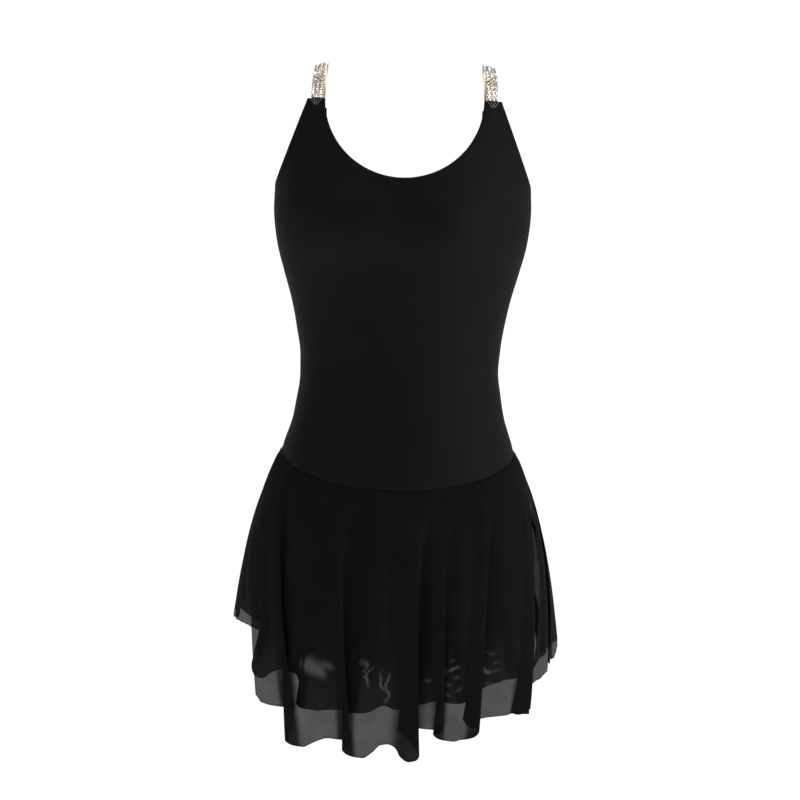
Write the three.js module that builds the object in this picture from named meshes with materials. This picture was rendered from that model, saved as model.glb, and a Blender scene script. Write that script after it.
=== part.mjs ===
// A sleeveless skirted leotard, shaped as it is worn: stretch bodice and brief, sheer two-panel skirt,
// and a rhinestone strap over each shoulder. Millimetres, +Z up, front towards -Y.
// The origin is midway between the two straps, at the underside of their crests, where a wearer's
// shoulders or a hanger carry the garment.
import * as THREE from "three";

// ---------- driving dimensions ----------
const CLOTH = 1.5; // thickness of the bodice, brief and gusset
const LINING = 1.0; // thickness of the front lining and the gusset lining
const MESH = 1.0; // thickness of the sheer skirt panels
const ELASTIC = 0.8; // thickness of the edge elastics and seam tapes
const ELASTIC_WIDTH = 6;
const SEAM_TAPE_WIDTH = 6;
const LAYER_GAP = 0.85; // air between two layers of cloth that are sewn together
const BUTT_GAP = 0.4; // air between two cloth edges that meet in a seam
const EDGE_MARGIN = 1; // from a cloth edge to the elastic inside it

const TAB_LEVEL = -41; // top of the front shoulder tabs
const BACK_TAB_DROP = 4; // how much lower the back tabs end
const TAB_WIDTH = 20;
const NECK_RADIUS = 90.5; // front neckline, a half circle hung between the tabs
const BACK_NECK_DEPTH = 205; // low back, a half ellipse hung between the back tabs
const ARMHOLE_DEPTH = 95; // from the front tabs' tops to the underarm
const SEAM_SIDE_LEVEL = -437; // basque seam where it crosses the side seams
const SEAM_FRONT_DIP = 49; // how far the basque seam dips at centre front
const SEAM_BACK_DIP = 33; // and at centre back
const BRIEF_SIDE = 68; // height of the brief at the side seams
const BRIEF_DEPTH = 161; // from the basque seam at the sides to the crotch
const CROTCH_WIDTH = 62;
const GUSSET_SAG = 14;
const BUST_HEIGHT = 13; // how far each side of the bust stands out of the chest
const BUST_SPACING = 128;
const BUST_LEVEL = -184;
const BUST_SPREAD = 44;

const STRAP_WIDTH = 15;
const STRAP_THICKNESS = 2.4;
const STRAP_ROWS = 3;
const ROW_GAP = 0.5; // between two rows of settings
const BACKING = 0.6; // thickness of the strap's metal mesh backing
const BACKING_GAP = 0.5; // from it to the rows, and from a tucked end to its tab
const STRAP_TUCK = 12; // how far each strap end reaches down behind its tab
const STRAP_LEAN = 5; // how far the crest leans towards the neck
const STRAP_ROLL = 20; // how far the crest tips down towards the arm, in degrees, as a shoulder slopes
const TAIL_GAP = 0.4; // from the sewn tail of a strap to its free part
const TACK_THREAD = 0.6; // thickness of the thread tacks that hold the strap ends

const LABEL_WIDTH = 20;
const LABEL_LENGTH = 30;
const LABEL_THICKNESS = 0.5;

const SKIRT_FLARE = { side: 65, front: 50, back: 54 }; // how far the skirt comes to stand out
const SKIRT_EASE = 130; // drop below the seam over which it does most of that
const SKIRT_OVERLAP_GAP = 3.5; // how far the front panel stands off the back one at the hem
const FRONT_HEM = { side: 262, centre: 336 }; // drops of the front hem below the seam at the sides
const BACK_HEM = { side: 208, centre: 325 };
const FRONT_PANEL_REACH = { top: 89.6, hem: 60 }; // degrees round from centre front to its side edges
const BACK_PANEL_REACH = { top: 89.6, hem: 128 }; // degrees round from centre back, under the front one

// Half width and depths of the body form at each level.
const FORM = [
  { z: 10, half: 150, front: 62, back: 88 },
  { z: -41, half: 149, front: 70, back: 96 },
  { z: -90, half: 147.5, front: 82, back: 103 },
  { z: -136, half: 146, front: 93, back: 106 },
  { z: -170, half: 146.5, front: 100, back: 106 },
  { z: -205, half: 142, front: 98, back: 103 },
  { z: -235, half: 134, front: 92, back: 98 },
  { z: -268, half: 124.5, front: 87, back: 92 },
  { z: -302, half: 117.5, front: 84, back: 87 },
  { z: -345, half: 112.5, front: 83, back: 84 },
  { z: -400, half: 119.5, front: 90, back: 93 },
  { z: -437, half: 131, front: 97, back: 104 },
  { z: -487, half: 144.5, front: 104, back: 118 },
  { z: -530, half: 150, front: 105, back: 125 },
  { z: -570, half: 151, front: 88, back: 112 },
  { z: -598, half: 150, front: 56, back: 80 },
  { z: -620, half: 148, front: 30, back: 48 },
];

const UNDERARM_LEVEL = TAB_LEVEL - ARMHOLE_DEPTH;
const LEG_SIDE_LEVEL = SEAM_SIDE_LEVEL - BRIEF_SIDE;
const CROTCH_LEVEL = SEAM_SIDE_LEVEL - BRIEF_DEPTH;
const RAD = Math.PI / 180;
const lerp = THREE.MathUtils.lerp;

// ---------- the body form ----------
// Cubic interpolation of one column of FORM, with the slope at a station taken across its neighbours.
function formValue(key, z) {
  let i = 1;
  while (i < FORM.length - 2 && z < FORM[i].z) i += 1;
  const [p, a] = [FORM[Math.max(i - 2, 0)], FORM[i - 1]];
  const [b, n] = [FORM[i], FORM[Math.min(i + 1, FORM.length - 1)]];
  const span = b.z - a.z;
  const slopeA = (b[key] - p[key]) / (b.z - p.z);
  const slopeB = (n[key] - a[key]) / (n.z - a.z);
  const t = THREE.MathUtils.clamp((z - a.z) / span, 0, 1);
  const t2 = t * t;
  const t3 = t2 * t;
  return (
    a[key] * (2 * t3 - 3 * t2 + 1) +
    b[key] * (3 * t2 - 2 * t3) +
    slopeA * span * (t3 - 2 * t2 + t) +
    slopeB * span * (t3 - t2)
  );
}

// A point on the form. phi runs from 0 at centre front, through a quarter turn at the +X side seam.
function formPoint(phi, z) {
  const c = Math.cos(phi);
  const x = formValue("half", z) * Math.sin(phi);
  let y = -c * formValue(c > 0 ? "front" : "back", z);
  if (c > 0) {
    for (const side of [-1, 1]) {
      const d = Math.hypot(x - (side * BUST_SPACING) / 2, z - BUST_LEVEL) / BUST_SPREAD;
      y -= BUST_HEIGHT * Math.exp(-d * d) * Math.sqrt(c);
    }
  }
  return new THREE.Vector3(x, y, z);
}

// The same point with its outward normal, moved out of the form by a distance.
function onForm(phi, z, out = 0) {
  const step = 0.01;
  const along = formPoint(phi + step, z).sub(formPoint(phi - step, z));
  const up = formPoint(phi, z + 1).sub(formPoint(phi, z - 1));
  const n = along.cross(up).normalize();
  return { p: formPoint(phi, z).addScaledVector(n, out), n };
}

const frontPhi = (x, z) => Math.asin(THREE.MathUtils.clamp(x / formValue("half", z), -1, 1));
const backPhi = (x, z) => Math.PI - frontPhi(x, z);

// ---------- solids from points ----------
function closedGeometry(points, triangles) {
  const position = new Float32Array(points.flatMap((p) => [p.x, p.y, p.z]));
  let volume = 0;
  for (const [a, b, c] of triangles) volume += points[a].dot(points[b].clone().cross(points[c]));
  const faces = volume < 0 ? triangles.map(([a, b, c]) => [a, c, b]) : triangles;
  const geometry = new THREE.BufferGeometry();
  geometry.setAttribute("position", new THREE.BufferAttribute(position, 3));
  geometry.setIndex(faces.flat());
  geometry.computeVertexNormals();
  return geometry;
}

// A slab between two sheets of points: pointAt(side, i, j) with side 0 inside and 1 outside.
function slab(columns, rows, pointAt) {
  const points = [];
  const at = (side, i, j) => (side * (rows + 1) + j) * (columns + 1) + i;
  for (const side of [0, 1])
    for (let j = 0; j <= rows; j += 1) for (let i = 0; i <= columns; i += 1) points.push(pointAt(side, i, j));
  const faces = [];
  const quad = (a, b, c, d) => faces.push([a, b, c], [a, c, d]);
  for (let j = 0; j < rows; j += 1)
    for (let i = 0; i < columns; i += 1) {
      quad(at(1, i, j), at(1, i + 1, j), at(1, i + 1, j + 1), at(1, i, j + 1));
      quad(at(0, i, j + 1), at(0, i + 1, j + 1), at(0, i + 1, j), at(0, i, j));
    }
  for (let i = 0; i < columns; i += 1) {
    quad(at(0, i, 0), at(0, i + 1, 0), at(1, i + 1, 0), at(1, i, 0));
    quad(at(1, i, rows), at(1, i + 1, rows), at(0, i + 1, rows), at(0, i, rows));
  }
  for (let j = 0; j < rows; j += 1) {
    quad(at(1, 0, j), at(1, 0, j + 1), at(0, 0, j + 1), at(0, 0, j));
    quad(at(0, columns, j), at(0, columns, j + 1), at(1, columns, j + 1), at(1, columns, j));
  }
  return closedGeometry(points, faces);
}

// A bar through rings of points, each ring convex; closed joins the last ring to the first.
function sweep(rings, closed = false) {
  const m = rings[0].length;
  const faces = [];
  const stretches = closed ? rings.length : rings.length - 1;
  for (let r = 0; r < stretches; r += 1)
    for (let k = 0; k < m; k += 1) {
      const [a, b] = [r * m + k, r * m + ((k + 1) % m)];
      const next = ((r + 1) % rings.length) * m;
      const [c, d] = [next + ((k + 1) % m), next + k];
      faces.push([a, b, c], [a, c, d]);
    }
  if (!closed)
    for (let k = 1; k < m - 1; k += 1) {
      const last = (rings.length - 1) * m;
      faces.push([0, k + 1, k], [last, last + k, last + k + 1]);
    }
  return closedGeometry(rings.flat(), faces);
}

// A panel of cloth between two edges, each a list of {phi, z} of equal length, at a depth in the layers.
function clothPanel(top, bottom, rows, inner, outer) {
  return slab(top.length - 1, rows, (side, i, j) => {
    const v = j / rows;
    const phi = lerp(top[i].phi, bottom[i].phi, v);
    const z = lerp(top[i].z, bottom[i].z, v);
    return onForm(phi, z, side ? outer : inner).p;
  });
}

// A flat tape along an edge: path holds {p, n}, and into is 1 or -1 for the side that the cloth is on.
function tape(path, into, inset, width, inner, outer, closed = false) {
  const count = path.length;
  const rings = path.map(({ p, n }, k) => {
    const ahead = path[closed ? (k + 1) % count : Math.min(k + 1, count - 1)].p;
    const behind = path[closed ? (k - 1 + count) % count : Math.max(k - 1, 0)].p;
    const across = ahead.clone().sub(behind).cross(n).normalize().multiplyScalar(into);
    const corner = (a, o) => p.clone().addScaledVector(across, inset + a * width).addScaledVector(n, o);
    return [corner(0, inner), corner(1, inner), corner(1, outer), corner(0, outer)];
  });
  return sweep(rings, closed);
}

const steps = (n) => Array.from({ length: n + 1 }, (_, i) => i / n);

// ---------- outlines ----------
const BACK_TAB_LEVEL = TAB_LEVEL - BACK_TAB_DROP;
const TAB_OUTER = NECK_RADIUS + TAB_WIDTH;
const TAB_CENTRE = NECK_RADIUS + TAB_WIDTH / 2;
const SIDE = 90 * RAD;
const SIDE_TRIM = 0.15 * RAD; // keeps the two halves of a side seam apart

// An armhole edge from the underarm up to a tab's outer corner, on the +X side. Its points are closest
// together at the underarm, where the form turns fastest.
function armhole(level, phiOf, n) {
  const side = formValue("half", UNDERARM_LEVEL);
  return steps(n).map((s) => {
    const t = s * s;
    const z = lerp(UNDERARM_LEVEL, level, t);
    return { phi: phiOf(lerp(side, TAB_OUTER, t), z), z };
  });
}

// A neckline from the +X tab to the -X tab: half an ellipse of the given depth, grown by some margin.
function neckline(level, depth, phiOf, n, grow = 0) {
  return steps(n).map((t) => {
    const a = (1 - 2 * t) * SIDE;
    const z = level - (depth + grow) * Math.cos(a);
    return { phi: phiOf((NECK_RADIUS + grow) * Math.sin(a), z), z };
  });
}

function tabTop(level, phiOf, n) {
  return steps(n).map((t) => ({ phi: phiOf(lerp(TAB_OUTER, NECK_RADIUS, t), level), z: level }));
}

const mirrorFront = (edge) => edge.map(({ phi, z }) => ({ phi: -phi, z })).reverse();
const mirrorBack = (edge) => edge.map(({ phi, z }) => ({ phi: 2 * Math.PI - phi, z })).reverse();

// The basque seam, where bodice, brief and skirt are sewn together.
function seamLevel(phi) {
  const c = Math.cos(phi);
  return SEAM_SIDE_LEVEL - (c > 0 ? SEAM_FRONT_DIP * c : -SEAM_BACK_DIP * c);
}

// A half of a leg opening's edge from the side seam in to the crotch, on the +X side. The bow says how
// far the edge stays up before it drops.
function legEdge(phiOf, bow, n) {
  const side = formValue("half", LEG_SIDE_LEVEL);
  return steps(n).map((t) => {
    const a = t ** 1.25 * SIDE;
    const x = lerp(side, CROTCH_WIDTH / 2, Math.sin(a));
    const z = lerp(LEG_SIDE_LEVEL, CROTCH_LEVEL, lerp(Math.sin(a), 1 - Math.cos(a), bow));
    return { phi: phiOf(x, z), z };
  });
}

const FRONT_LEG_BOW = 0.75;
const BACK_LEG_BOW = 0.2;

function trimmed(edge, low, high, lift = 0) {
  return edge.map(({ phi, z }) => ({ phi: THREE.MathUtils.clamp(phi, low, high), z: z + lift }));
}

function seamEdge(from, to, count, lift) {
  return steps(count - 1).map((t) => {
    const phi = lerp(from, to, t);
    return { phi, z: seamLevel(phi) + lift };
  });
}

// ---------- bodice, brief and gusset ----------
const ARM_STEPS = 8;
const NECK_STEPS = 22;
const FRONT = { low: -SIDE + SIDE_TRIM, high: SIDE - SIDE_TRIM };
const BACK = { low: SIDE + SIDE_TRIM, high: 3 * SIDE - SIDE_TRIM };

function bodiceTop(level, depth, phiOf, mirror, grow = 0, tabDrop = 0) {
  const arm = armhole(level, phiOf, ARM_STEPS);
  const tab = tabTop(level, phiOf, 2).slice(1, -1);
  const neck = neckline(level, depth, phiOf, NECK_STEPS, grow);
  const edge = [...arm, ...tab, ...neck, ...mirror(tab), ...mirror(arm)];
  return edge.map(({ phi, z }) => ({ phi, z: Math.min(z - grow, level - tabDrop) }));
}

function bodiceFront() {
  const top = bodiceTop(TAB_LEVEL, NECK_RADIUS, frontPhi, mirrorFront);
  const bottom = seamEdge(FRONT.high, FRONT.low, top.length, BUTT_GAP / 2);
  return clothPanel(trimmed(top, FRONT.low, FRONT.high), bottom, 16, 0, CLOTH);
}

function bodiceBack() {
  const top = bodiceTop(BACK_TAB_LEVEL, BACK_NECK_DEPTH, backPhi, mirrorBack);
  const bottom = seamEdge(BACK.low, BACK.high, top.length, BUTT_GAP / 2);
  return clothPanel(trimmed(top, BACK.low, BACK.high), bottom, 20, 0, CLOTH);
}

const LINING_OUTER = -2 * LAYER_GAP - ELASTIC;
const LINING_TRIM = 2; // the lining's edges sit this far inside the bodice's
const LINING_TAB_DROP = STRAP_TUCK + 6; // the lining stops below the tucked strap ends

function frontLining() {
  const top = bodiceTop(TAB_LEVEL, NECK_RADIUS, frontPhi, mirrorFront, LINING_TRIM, LINING_TAB_DROP);
  const inset = 2 * RAD;
  const bottom = seamEdge(FRONT.high - inset, FRONT.low + inset, top.length, SEAM_TAPE_WIDTH);
  return clothPanel(
    trimmed(top, FRONT.low + inset, FRONT.high - inset, -LINING_TRIM),
    bottom,
    10,
    LINING_OUTER - LINING,
    LINING_OUTER,
  );
}

const LEG_STEPS = 16;

function brief(phiOf, mirror, range, bow) {
  const leg = trimmed(legEdge(phiOf, bow, LEG_STEPS), range.low, range.high);
  const across = CROTCH_WIDTH / 2;
  const crotch = [0.5, 0, -0.5].map((t) => ({ phi: phiOf(2 * across * t, CROTCH_LEVEL), z: CROTCH_LEVEL }));
  const bottom = [...leg, crotch[1], ...mirror(leg)];
  const top = seamEdge(bottom[0].phi, bottom.at(-1).phi, bottom.length, -BUTT_GAP / 2);
  return clothPanel(top, bottom, 14, 0, CLOTH);
}

// The gusset's surface runs from the front brief's lower edge under the body to the back one's.
function onGusset(x, s, out = 0) {
  const front = onForm(frontPhi(x, CROTCH_LEVEL), CROTCH_LEVEL).p;
  const back = onForm(backPhi(x, CROTCH_LEVEL), CROTCH_LEVEL).p;
  const y = lerp(front.y, back.y, s);
  const z = CROTCH_LEVEL - GUSSET_SAG * Math.sin(Math.PI * s);
  const slope = (-GUSSET_SAG * Math.PI * Math.cos(Math.PI * s)) / (back.y - front.y);
  const n = new THREE.Vector3(0, slope, -1).normalize();
  return { p: new THREE.Vector3(x, y, z).addScaledVector(n, out), n };
}

function gussetPanel(halfWidth, trim, inner, outer) {
  return slab(4, 10, (side, i, j) => {
    const x = lerp(-halfWidth, halfWidth, i / 4);
    return onGusset(x, lerp(trim, 1 - trim, j / 10), side ? outer : inner).p;
  });
}

const GUSSET_TRIM = 0.012; // share of the gusset's length left out at each end seam
const gusset = () => gussetPanel(CROTCH_WIDTH / 2, GUSSET_TRIM, 0, CLOTH);
const gussetLining = () =>
  gussetPanel(CROTCH_WIDTH / 2 - LINING_TRIM, 0.06, LINING_OUTER - LINING, LINING_OUTER);

// ---------- elastics and seam tapes ----------
const TAPE_OUTER = -LAYER_GAP;
const TAPE_INNER = -LAYER_GAP - ELASTIC;
const pathOn = (edge) => edge.map(({ phi, z }) => onForm(phi, z));

function edgeElastic(path, into, closed = false) {
  return tape(path, into, EDGE_MARGIN, ELASTIC_WIDTH, TAPE_INNER, TAPE_OUTER, closed);
}

const belowStrap = (edge, level) => edge.filter(({ z }) => z < level - STRAP_TUCK - 3);

function neckElastic(level, depth, phiOf, into) {
  return edgeElastic(pathOn(belowStrap(neckline(level, depth, phiOf, 28), level)), into);
}

// One band from the front tab, under the arm, to the back tab. side is 1 for +X.
function armElastic(side) {
  const front = belowStrap(armhole(TAB_LEVEL, frontPhi, 12), TAB_LEVEL).reverse();
  const back = belowStrap(armhole(BACK_TAB_LEVEL, backPhi, 12), BACK_TAB_LEVEL).slice(1);
  const edge = [...front, ...back].map(({ phi, z }) => ({ phi: side * phi, z }));
  return edgeElastic(pathOn(edge), side);
}

// One closed band round a leg: front edge, gusset, back edge. side is 1 for +X.
function legElastic(side) {
  const turned = ({ phi, z }) => ({ phi: side * phi, z });
  const front = legEdge(frontPhi, FRONT_LEG_BOW, 14).slice(0, -1).map(turned);
  const back = legEdge(backPhi, BACK_LEG_BOW, 14).reverse().slice(1, -1).map(turned);
  const under = steps(8).map((s) => onGusset((side * CROTCH_WIDTH) / 2, s));
  return edgeElastic([...pathOn(front), ...under, ...pathOn(back)], side, true);
}

function basqueTape(from, to) {
  const edge = seamEdge(from, to, 33, 0);
  return tape(pathOn(edge), 1, -SEAM_TAPE_WIDTH / 2, SEAM_TAPE_WIDTH, TAPE_INNER, TAPE_OUTER);
}

function sideTape(side) {
  const clear = EDGE_MARGIN + ELASTIC_WIDTH + 2;
  const edge = steps(26).map((t) => ({
    phi: side * SIDE,
    z: lerp(UNDERARM_LEVEL - clear, LEG_SIDE_LEVEL + clear, t),
  }));
  return tape(pathOn(edge), 1, -SEAM_TAPE_WIDTH / 2, SEAM_TAPE_WIDTH, TAPE_INNER, TAPE_OUTER);
}

// ---------- skirt ----------
const SKIRT_INNER = CLOTH + LAYER_GAP;
const SKIRT_COLUMNS = 30;
const SKIRT_ROWS = 8;

// A point of the skirt at an angle and a level, moved out from the inner panel's inside face.
function skirtPoint(phi, z, out) {
  const c = Math.cos(phi);
  const { p, n } = onForm(phi, seamLevel(phi) - BUTT_GAP);
  const flat = new THREE.Vector3(n.x, n.y, 0);
  p.addScaledVector(flat.clone().normalize(), SKIRT_INNER / flat.length());
  const rise = 1 - Math.exp((z - p.z) / SKIRT_EASE);
  p.x += Math.sin(phi) * SKIRT_FLARE.side * rise;
  p.y -= c * (c > 0 ? SKIRT_FLARE.front : SKIRT_FLARE.back) * rise;
  p.z = z;
  return p.addScaledVector(flat.normalize(), out);
}

function skirtPanel(centre, hem, reach, layer) {
  return slab(SKIRT_COLUMNS, SKIRT_ROWS, (side, i, j) => {
    const v = j / SKIRT_ROWS;
    const turn = lerp(reach.top, reach.hem, v) * RAD;
    const phi = centre + lerp(-turn, turn, i / SKIRT_COLUMNS);
    const low = SEAM_SIDE_LEVEL - lerp(hem.side, hem.centre, Math.cos(phi) ** 2);
    return skirtPoint(phi, lerp(seamLevel(phi) - BUTT_GAP, low, v), layer(phi, v) + side * MESH);
  });
}

// The front panel lies on the inner line at centre front, and outside the back panel at the sides.
function frontLayer(phi, v) {
  const lap = THREE.MathUtils.smoothstep(Math.abs(phi), 28 * RAD, 50 * RAD);
  return lap * (MESH + LAYER_GAP + v * SKIRT_OVERLAP_GAP);
}

// ---------- straps ----------
// The strap's line on the +X side: up out of the front tab, over the shoulder, down into the back tab.
// It returns the middle of the strap's underside, with the strap's outward normal.
const TUCK_DEPTH = -BACKING_GAP - STRAP_THICKNESS;
const CREST_POWER = 2 / 2.3; // a rounder shoulder than an ellipse

function strapLine() {
  const tucked = (phiOf, level) =>
    steps(3).map((t) => {
      const z = level - STRAP_TUCK * (1 - t) - 1;
      return onForm(phiOf(TAB_CENTRE, z), z, TUCK_DEPTH).p;
    });
  const front = tucked(frontPhi, TAB_LEVEL);
  const back = tucked(backPhi, BACK_TAB_LEVEL);
  const arch = steps(18)
    .slice(1, -1)
    .map((t) => {
      const a = t * 2 * SIDE;
      const foot = a < SIDE ? front.at(-1) : back.at(-1);
      const rise = Math.sin(a) ** CREST_POWER;
      const reach = Math.abs(Math.cos(a)) ** CREST_POWER;
      const x = lerp(foot.x, TAB_CENTRE - STRAP_LEAN, Math.sin(a) ** 2);
      return new THREE.Vector3(x, foot.y * reach, foot.z * (1 - rise));
    });
  const curve = new THREE.CatmullRomCurve3([...front, ...arch, ...back.reverse()], false, "centripetal");
  curve.arcLengthDivisions = 400;
  return curve;
}

const STRAP = strapLine();
const STRAP_LENGTH = STRAP.getLength();
const STRAP_STEPS = 34;

// How far the form falls away sideways under a tab, which the strap end follows.
function tabSlope(phiOf, level) {
  const z = level - STRAP_TUCK / 2;
  return formPoint(phiOf(TAB_CENTRE + 1, z), z).sub(formPoint(phiOf(TAB_CENTRE - 1, z), z)).y / 2;
}

const FRONT_SLOPE = tabSlope(frontPhi, TAB_LEVEL);
const BACK_SLOPE = tabSlope(backPhi, BACK_TAB_LEVEL);
const strapSlope = (u) =>
  (u < 0.5 ? FRONT_SLOPE : BACK_SLOPE) * Math.min(1, 1.15 * Math.abs(Math.cos(u * Math.PI)));
const strapRoll = (u) => Math.tan(STRAP_ROLL * RAD) * Math.sin(u * Math.PI) ** 4;

// A piece of the strap on one side of the body. It spans from one offset across the strap to another,
// and startAt gives, for an offset, how far along the strap it starts. It ends at endAt.
function strapPiece(side, from, to, strips, low, high, startAt, endAt) {
  const span = endAt(0) - startAt(0);
  const count = Math.max(1, Math.round((STRAP_STEPS * span) / STRAP_LENGTH));
  return slab(count, strips, (top, i, j) => {
    const across = lerp(from, to, j / strips);
    const u = lerp(startAt(across), endAt(across), i / count) / STRAP_LENGTH;
    const along = STRAP.getTangentAt(u);
    const w = new THREE.Vector3(1, strapSlope(u), -strapRoll(u)).projectOnPlane(along).normalize();
    const n = w.clone().cross(along).normalize();
    const p = STRAP.getPointAt(u).addScaledVector(w, across).addScaledVector(n, top ? high : low);
    return new THREE.Vector3(side * p.x, p.y, p.z);
  });
}

// The free part has round ends, so that it can swing over its sewn tails.
const TAIL = STRAP_TUCK + 1;
const END_RADIUS = STRAP_WIDTH / 2;
const roundEnd = (across) => END_RADIUS - Math.sqrt(Math.max(0, END_RADIUS ** 2 - across ** 2));
const freeStart = (across) => TAIL + TAIL_GAP + roundEnd(across);
const freeEnd = (across) => STRAP_LENGTH - freeStart(across);
const ROW_WIDTH = (STRAP_WIDTH - (STRAP_ROWS - 1) * ROW_GAP) / STRAP_ROWS;
const ROW_BASE = BACKING + BACKING_GAP;

function strapBacking(side) {
  return strapPiece(side, -END_RADIUS, END_RADIUS, 6, 0, BACKING, freeStart, freeEnd);
}

function strapRow(side, row) {
  const from = -END_RADIUS + row * (ROW_WIDTH + ROW_GAP);
  return strapPiece(side, from, from + ROW_WIDTH, 2, ROW_BASE, STRAP_THICKNESS, freeStart, freeEnd);
}

function strapTail(side, start) {
  const half = END_RADIUS - TAIL_GAP;
  return strapPiece(side, -half, half, 1, 0, STRAP_THICKNESS, () => start, () => start + TAIL);
}

// A V of thread on the outer face of a tab, which tacks the strap end behind it.
const TACK_DEPTH = 9;
const TACK_MARGIN = 3;

function tack(side, phiOf, level) {
  const half = TAB_WIDTH / 2 - TACK_MARGIN;
  const legs = [-half, 0, half].map((x, k) => {
    const z = level - 2 - (k === 1 ? TACK_DEPTH : 0);
    return onForm(phiOf(side * (TAB_CENTRE + x), z), z);
  });
  return tape(legs, 1, 0, TACK_THREAD, CLOTH + BACKING_GAP, CLOTH + BACKING_GAP + TACK_THREAD);
}

// ---------- care label ----------
const LABEL_TOP = BACK_TAB_LEVEL - BACK_NECK_DEPTH - EDGE_MARGIN - ELASTIC_WIDTH - BUTT_GAP;

function label() {
  const hang = onForm(2 * SIDE, LABEL_TOP, TAPE_INNER);
  const down = onForm(2 * SIDE, LABEL_TOP - LABEL_LENGTH, TAPE_INNER).p.sub(hang.p).normalize();
  const out = new THREE.Vector3(1, 0, 0).cross(down).normalize();
  const rings = [0, LABEL_LENGTH].map((d) => {
    const corner = (x, o) =>
      hang.p.clone().addScaledVector(down, d).addScaledVector(out, o).add(new THREE.Vector3(x, 0, 0));
    const half = LABEL_WIDTH / 2;
    return [
      corner(-half, -LABEL_THICKNESS),
      corner(half, -LABEL_THICKNESS),
      corner(half, 0),
      corner(-half, 0),
    ];
  });
  return sweep(rings);
}

// ---------- assembly ----------
const black = new THREE.MeshStandardMaterial({ color: 0x101114, roughness: 0.75, metalness: 0 });
const sheer = new THREE.MeshStandardMaterial({ color: 0x16171a, roughness: 0.8, metalness: 0 });
const elasticBlack = new THREE.MeshStandardMaterial({ color: 0x1b1b1d, roughness: 0.9, metalness: 0 });
const gold = new THREE.MeshStandardMaterial({ color: 0xd9b98a, roughness: 0.3, metalness: 1 });
const crystal = new THREE.MeshStandardMaterial({ color: 0xe6e8ee, roughness: 0.08, metalness: 0.2 });
const thread = new THREE.MeshStandardMaterial({ color: 0x8f9096, roughness: 0.5, metalness: 0 });
const satin = new THREE.MeshStandardMaterial({ color: 0xe8e6df, roughness: 0.5, metalness: 0 });

const leotard = new THREE.Group();

function add(name, geometry, material) {
  const mesh = new THREE.Mesh(geometry, material);
  mesh.name = name;
  leotard.add(mesh);
}

add("bodice_front", bodiceFront(), black);
add("bodice_back", bodiceBack(), black);
add("front_lining", frontLining(), black);
add("brief_front", brief(frontPhi, mirrorFront, FRONT, FRONT_LEG_BOW), black);
add("brief_back", brief(backPhi, mirrorBack, BACK, BACK_LEG_BOW), black);
add("gusset", gusset(), black);
add("gusset_lining", gussetLining(), black);
add("neck_elastic_front", neckElastic(TAB_LEVEL, NECK_RADIUS, frontPhi, -1), elasticBlack);
add("neck_elastic_back", neckElastic(BACK_TAB_LEVEL, BACK_NECK_DEPTH, backPhi, 1), elasticBlack);
add("basque_seam_tape_front", basqueTape(-86 * RAD, 86 * RAD), elasticBlack);
add("basque_seam_tape_back", basqueTape(94 * RAD, 266 * RAD), elasticBlack);
add("skirt_front_panel", skirtPanel(0, FRONT_HEM, FRONT_PANEL_REACH, frontLayer), sheer);
add("skirt_back_panel", skirtPanel(2 * SIDE, BACK_HEM, BACK_PANEL_REACH, () => 0), sheer);
add("care_label", label(), satin);

for (const [hand, side] of [["right", -1], ["left", 1]]) {
  add(`armhole_elastic_${hand}`, armElastic(side), elasticBlack);
  add(`leg_elastic_${hand}`, legElastic(side), elasticBlack);
  add(`side_seam_tape_${hand}`, sideTape(side), elasticBlack);
  add(`strap_${hand}_backing`, strapBacking(side), gold);
  for (let row = 0; row < STRAP_ROWS; row += 1)
    add(`strap_${hand}_crystal_row_${row + 1}`, strapRow(side, row), crystal);
  add(`strap_${hand}_tail_front`, strapTail(side, 0), black);
  add(`strap_${hand}_tail_back`, strapTail(side, STRAP_LENGTH - TAIL), black);
  add(`strap_${hand}_tack_front`, tack(side, frontPhi, TAB_LEVEL), thread);
  add(`strap_${hand}_tack_back`, tack(side, backPhi, BACK_TAB_LEVEL), thread);
}

export default leotard;
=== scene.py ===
import math

import bmesh
import bpy
import numpy as np
from mathutils import Matrix, Vector


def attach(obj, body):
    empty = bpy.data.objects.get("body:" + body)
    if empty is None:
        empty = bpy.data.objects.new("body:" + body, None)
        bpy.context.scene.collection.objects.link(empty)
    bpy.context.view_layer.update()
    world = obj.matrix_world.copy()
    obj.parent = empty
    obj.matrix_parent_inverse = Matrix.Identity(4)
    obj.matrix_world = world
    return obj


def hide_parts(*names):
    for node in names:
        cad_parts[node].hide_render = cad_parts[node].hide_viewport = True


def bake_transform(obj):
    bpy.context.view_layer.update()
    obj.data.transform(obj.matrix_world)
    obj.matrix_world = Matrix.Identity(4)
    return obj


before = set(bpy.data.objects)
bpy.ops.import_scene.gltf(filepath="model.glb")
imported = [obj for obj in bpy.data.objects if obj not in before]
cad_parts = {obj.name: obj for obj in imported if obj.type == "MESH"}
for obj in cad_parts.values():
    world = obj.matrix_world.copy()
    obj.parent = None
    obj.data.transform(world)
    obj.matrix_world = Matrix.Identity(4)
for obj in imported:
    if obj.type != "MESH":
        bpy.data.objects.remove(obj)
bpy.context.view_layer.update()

rng = np.random.default_rng(795)
RAD = math.pi / 180
MM = 0.001

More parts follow.
